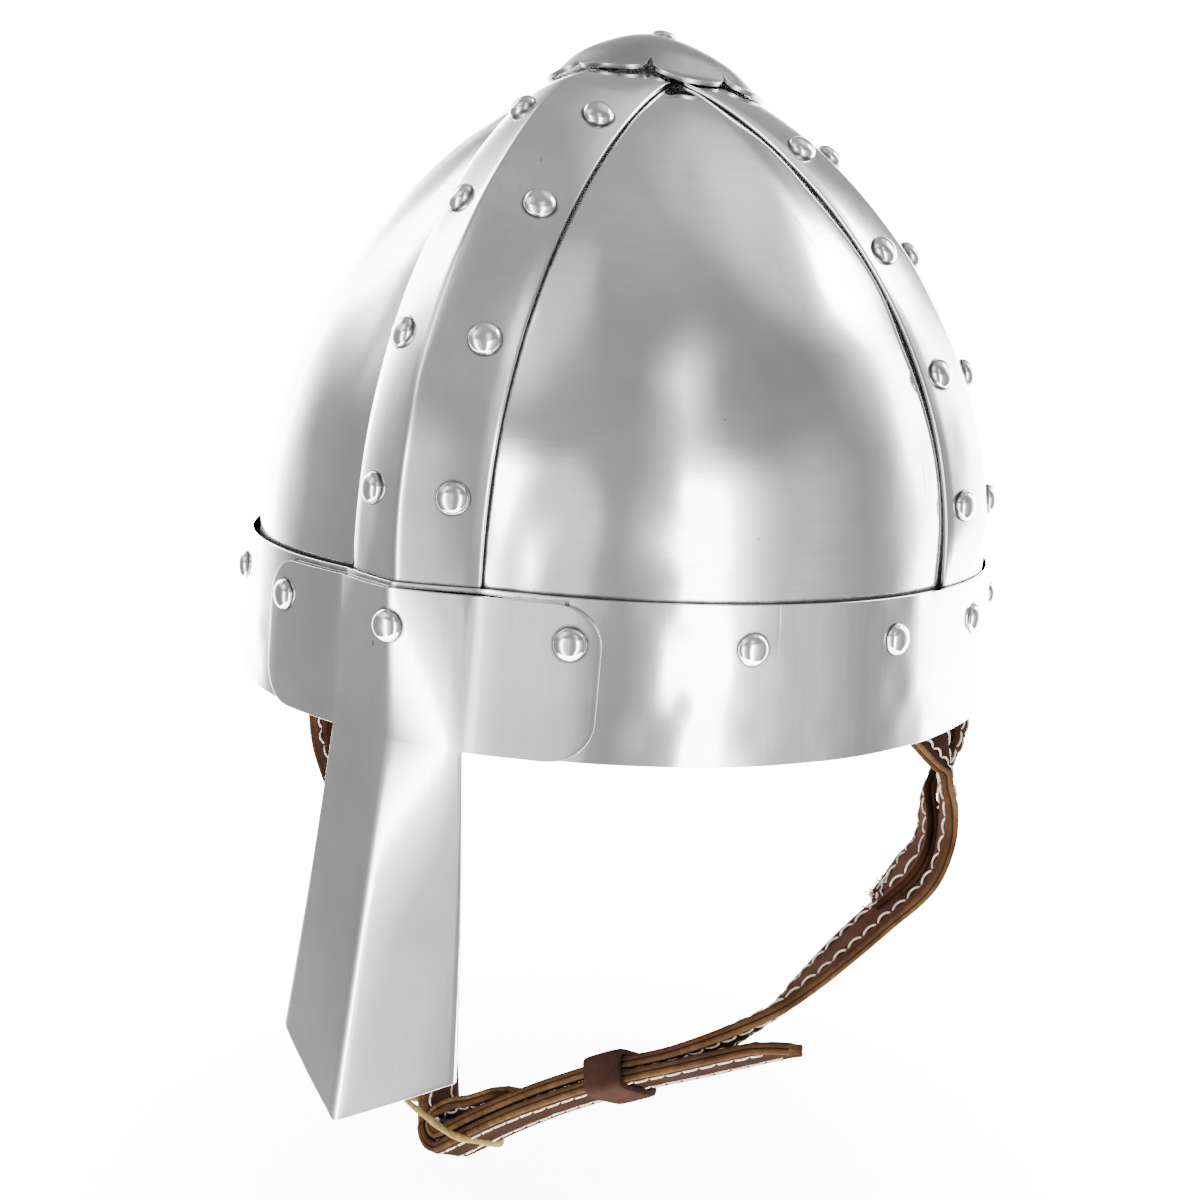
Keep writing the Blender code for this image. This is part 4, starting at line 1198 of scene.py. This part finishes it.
def build_tie(material):
    """The rawhide string: one turn of an uneven flat-sided lace round the fold."""
    skew = math.radians(TIE_SKEW)
    source = np.random.default_rng(9)
    path = []
    steps = 120
    for step in range(steps):
        turn = 2.0 * math.pi * step / steps
        sine, cosine = math.sin(turn), math.cos(turn)
        scale = (abs(sine) ** TIE_SQUARENESS + abs(cosine) ** TIE_SQUARENESS) ** (-1.0 / TIE_SQUARENESS)
        rise = TIE_HALF_HEIGHT * sine * scale + TIE_LIFT
        across = TIE_HALF_WIDTH * cosine * scale
        path.append(bundle_point(TIE_ALONG - rise * math.sin(skew), rise * math.cos(skew), across))
    builder = bmesh.new()
    rings = []
    middle = sum(path, Vector()) / steps
    sides = 10
    wobble = np.interp(np.arange(steps), np.arange(0, steps + 1, 6), source.normal(size=21) * 0.00012)
    for step, point in enumerate(path):
        ahead = (path[(step + 1) % steps] - path[step - 1]).normalized()
        out = point - middle
        out = (out - ahead * out.dot(ahead)).normalized()
        aside = ahead.cross(out)
        ring = []
        for side in range(sides):
            turn = 2.0 * math.pi * side / sides
            size = TIE_RADIUS + wobble[step]
            spot = point + out * math.cos(turn) * size * 0.85 + aside * math.sin(turn) * size * 1.15
            ring.append(builder.verts.new(spot))
        rings.append(ring)
    for step in range(steps):
        join_rings(builder, rings[step], rings[(step + 1) % steps])
    finish_piece(mesh_of("look_tie", builder), [material], ["tie"])


# Stage
FLOOR_HEIGHT = -0.1720
FLOOR_RADIUS = 0.2600
# The floor's glow: dim below the helmet as a painted shadow, bright at the rim
FLOOR_SHADE_TO_GLOW = (9.5, 18.0)

# The studio walls at eye level, then above it: bearing round the helmet, 0 in front and 90 to the
# wearer's left, and how light the wall is there, from 0 for the dim gaps to 1 for the lit panels
LOW_WALL = [
    (-180, 1.00), (-108, 1.00), (-100, 0.85), (-92, 0.50), (-85, 0.27), (-60, 0.22), (-45, 0.25),
    (-30, 0.50), (-22, 0.88), (-12, 1.00), (-5, 0.80), (5, 0.54), (15, 0.50), (22, 0.30),
    (30, 0.26), (38, 0.38), (44, 0.55), (48, 1.00), (59, 1.00), (65, 0.80), (73, 0.55), (81, 0.42),
    (91, 0.40), (100, 0.31), (110, 0.23), (116, 0.26), (122, 0.36), (128, 0.64), (134, 0.92),
    (141, 1.00), (180, 1.00),
]
HIGH_WALL = [
    (-180, 0.22), (-150, 0.25), (-130, 0.33), (-122, 0.60), (-112, 0.95), (-98, 1.00), (-88, 0.85),
    (-80, 0.55), (-70, 0.60), (-50, 0.30), (-25, 0.40), (-12, 0.30), (0, 0.26), (30, 0.24),
    (40, 0.40), (50, 0.62), (58, 0.46), (66, 0.27), (80, 0.20), (105, 0.20), (115, 0.33),
    (124, 0.60), (131, 0.90), (139, 1.00), (152, 0.88), (158, 0.60), (165, 0.35), (172, 0.22),
    (180, 0.22),
]
# The heights in degrees over which the low walls give way to the high ones, and those to the ceiling
HIGH_WALL_RISE = (14.0, 27.0)
CEILING_RISE = (40.0, 55.0)
CEILING = 0.24
# Soft lights on the ceiling: bearing, height and half spread in degrees, and gain
CEILING_PATCHES = [(140, 57, 30, 0.26), (-20, 50, 24, 0.22), (172, 82, 40, 0.05), (52, 44, 16, 0.10)]
DIM_LEVEL = 0.25
LIT_TO_DIM = 42.0
PANEL_BOOST = 1.8
BACKDROP = 20.0


def build_stage():
    """A pale round floor just under the helmet's strap; it glows, dimmer under the helmet as a painted soft shadow
    and brighter towards its rim.
    """
    sides = 96
    ring = [2.0 * math.pi * step / sides for step in range(sides)]
    points = [(FLOOR_RADIUS * math.cos(turn), FLOOR_RADIUS * math.sin(turn), FLOOR_HEIGHT) for turn in ring]
    mesh = bpy.data.meshes.new("floor")
    mesh.from_pydata(points, [], [tuple(range(sides))])
    floor = bpy.data.objects.new("floor", mesh)
    bpy.context.scene.collection.objects.link(floor)
    material, tree, shader = new_material("glowing_pale_floor")
    place = add_node(tree, "ShaderNodeTexCoord", "Object", {})
    reach = add_node(tree, "ShaderNodeVectorMath", "Value", {0: place}, operation="LENGTH")
    # Painted shadow: the floor's glow is weakest right under the helmet.
    glow = remap(tree, reach, -FLOOR_HEIGHT, math.hypot(FLOOR_RADIUS, FLOOR_HEIGHT), *FLOOR_SHADE_TO_GLOW)
    white = (1.0, 1.0, 1.0, 1.0)
    put(tree, shader, {"Base Color": shade(white, 0.80), "Roughness": 0.9})
    put(tree, shader, {"Emission Color": white, "Emission Strength": glow})
    mesh.materials.append(material)


def wall_ramp(tree, share, stops):
    ramp = tree.nodes.new("ShaderNodeValToRGB")
    ramp.color_ramp.interpolation = "LINEAR"
    while len(ramp.color_ramp.elements) < len(stops):
        ramp.color_ramp.elements.new(0.5)
    for element, (bearing, level) in zip(ramp.color_ramp.elements, stops):
        element.position = (bearing + 180.0) / 360.0
        element.color = (level, level, level, 1.0)
    tree.links.new(share, ramp.inputs["Fac"])
    return ramp.outputs["Color"]


def build_world():
    """A white tent with lit panels and dim gaps, which the camera sees as plain white."""
    world = bpy.data.worlds.new("studio")
    bpy.context.scene.world = world
    world.use_nodes = True
    tree = world.node_tree
    back = tree.nodes["Background"]
    place = tree.nodes.new("ShaderNodeTexCoord")
    parts = tree.nodes.new("ShaderNodeSeparateXYZ")
    tree.links.new(place.outputs["Generated"], parts.inputs[0])
    towards = math_node(tree, "MULTIPLY", parts.outputs["Y"], -1.0)
    bearing = math_node(tree, "ARCTAN2", parts.outputs["X"], towards)
    share = remap(tree, bearing, -math.pi, math.pi, 0.0, 1.0)
    low = wall_ramp(tree, share, LOW_WALL)
    high = wall_ramp(tree, share, HIGH_WALL)
    walls = low
    for (start, end), upper in ((HIGH_WALL_RISE, high), (CEILING_RISE, (CEILING, CEILING, CEILING, 1.0))):
        begin, done = math.sin(math.radians(start)), math.sin(math.radians(end))
        walls = mix_colour(tree, remap(tree, parts.outputs["Z"], begin, done, 0.0, 1.0, smooth=True), walls, upper)
    for bearing_to, height_to, spread, gain in CEILING_PATCHES:
        turn, climb = math.radians(bearing_to), math.radians(height_to)
        middle = (math.sin(turn) * math.cos(climb), -math.cos(turn) * math.cos(climb), math.sin(climb))
        values = {0: place.outputs["Generated"], 1: middle}
        nearness = add_node(tree, "ShaderNodeVectorMath", "Value", values, operation="DOT_PRODUCT")
        glow = remap(tree, nearness, math.cos(math.radians(spread)), 1.0, 0.0, gain, smooth=True)
        walls = math_node(tree, "ADD", walls, glow)
    level = math_node(tree, "MULTIPLY", math_node(tree, "POWER", LIT_TO_DIM, walls), DIM_LEVEL)
    level = math_node(tree, "MULTIPLY", level, remap(tree, walls, 0.85, 1.0, 1.0, PANEL_BOOST, smooth=True))
    path = tree.nodes.new("ShaderNodeLightPath")
    seen = math_node(tree, "MULTIPLY", path.outputs["Is Camera Ray"], BACKDROP)
    level = math_node(tree, "MAXIMUM", level, seen)
    tree.links.new(level, back.inputs["Color"])
    back.inputs["Strength"].default_value = 1.0


def build_camera():
    """The camera at the photograph's viewing angle."""
    right = Vector((0.8763, 0.4783, 0.0569))
    up = Vector((-0.1403, 0.1403, 0.9801))
    ahead = Vector((-0.4608, 0.8669, -0.1900))
    matrix = Matrix((right, up, -ahead)).transposed().to_4x4()
    matrix.translation = Vector((0.21077, -0.40891, 0.10666))
    data = bpy.data.cameras.new("camera")
    camera = bpy.data.objects.new("camera", data)
    bpy.context.scene.collection.objects.link(camera)
    camera.matrix_world = matrix
    data.sensor_width = 36.0
    data.lens = 46.024
    data.clip_start = 0.01
    bpy.context.scene.camera = camera


def build_lamp():
    """A broad soft box to the front."""
    place, aim = Vector((-0.9, -1.3, 1.3)), Vector((0.0, 0.0, 0.05))
    data = bpy.data.lights.new("key", "AREA")
    data.shape = "RECTANGLE"
    data.size = 0.9
    data.size_y = 1.17
    data.energy = 6.0
    lamp = bpy.data.objects.new("key", data)
    lamp.location = place
    lamp.rotation_mode = "QUATERNION"
    lamp.rotation_quaternion = (place - aim).to_track_quat("Z", "Y")
    bpy.context.scene.collection.objects.link(lamp)


def main():
    build_camera()
    build_stage()
    build_world()
    build_lamp()
    brow = steel("brow_steel_look", (0.64, 0.64, 0.65), 0.065, (520.0, 520.0, 22.0))
    head = steel("rivet_steel_look", (0.62, 0.62, 0.63), 0.09, (300.0, 300.0, 300.0), grime_and_shade=0.85)
    build_plates(steel("plate_steel_look", (0.61, 0.61, 0.615), 0.095, (60.0, 60.0, 700.0)))
    build_bands(steel("band_steel_look", (0.58, 0.58, 0.59), 0.115, (420.0, 420.0, 30.0)))
    build_brow_band(brow)
    build_nasal(brow)
    build_finial(steel("cap_steel_look", (0.33, 0.33, 0.335), 0.25, (90.0, 90.0, 90.0)))
    build_rivets(head)
    build_straps(
        leather("strap_face_look", (0.0350, 0.0160, 0.0112, 1.0), (0.0600, 0.0310, 0.0225, 1.0), 0.62),
        cut_edge(
            "strap_edge_look",
            (0.038, 0.0185, 0.0080, 1.0),
            (0.066, 0.037, 0.0170, 1.0),
            (0.0150, 0.0070, 0.0044, 1.0),
        ),
        # A darker copy of the edge material for the rear legs: painted shade.
        cut_edge(
            "rear_edge_painted_shade_look",
            (0.016, 0.0065, 0.0032, 1.0),
            (0.030, 0.013, 0.006, 1.0),
            (0.0100, 0.0045, 0.0028, 1.0),
        ),
        thread("thread_look", (0.30, 0.255, 0.20, 1.0), (0.50, 0.45, 0.38, 1.0)),
    )
    build_keeper(
        leather("keeper_look", (0.0190, 0.0095, 0.0072, 1.0), (0.0300, 0.0160, 0.0122, 1.0), 0.55, 0.6, False)
    )
    build_clasp(head)
    build_tie(thread("rawhide_look", (0.080, 0.055, 0.014, 1.0), (0.150, 0.112, 0.034, 1.0)))


main()
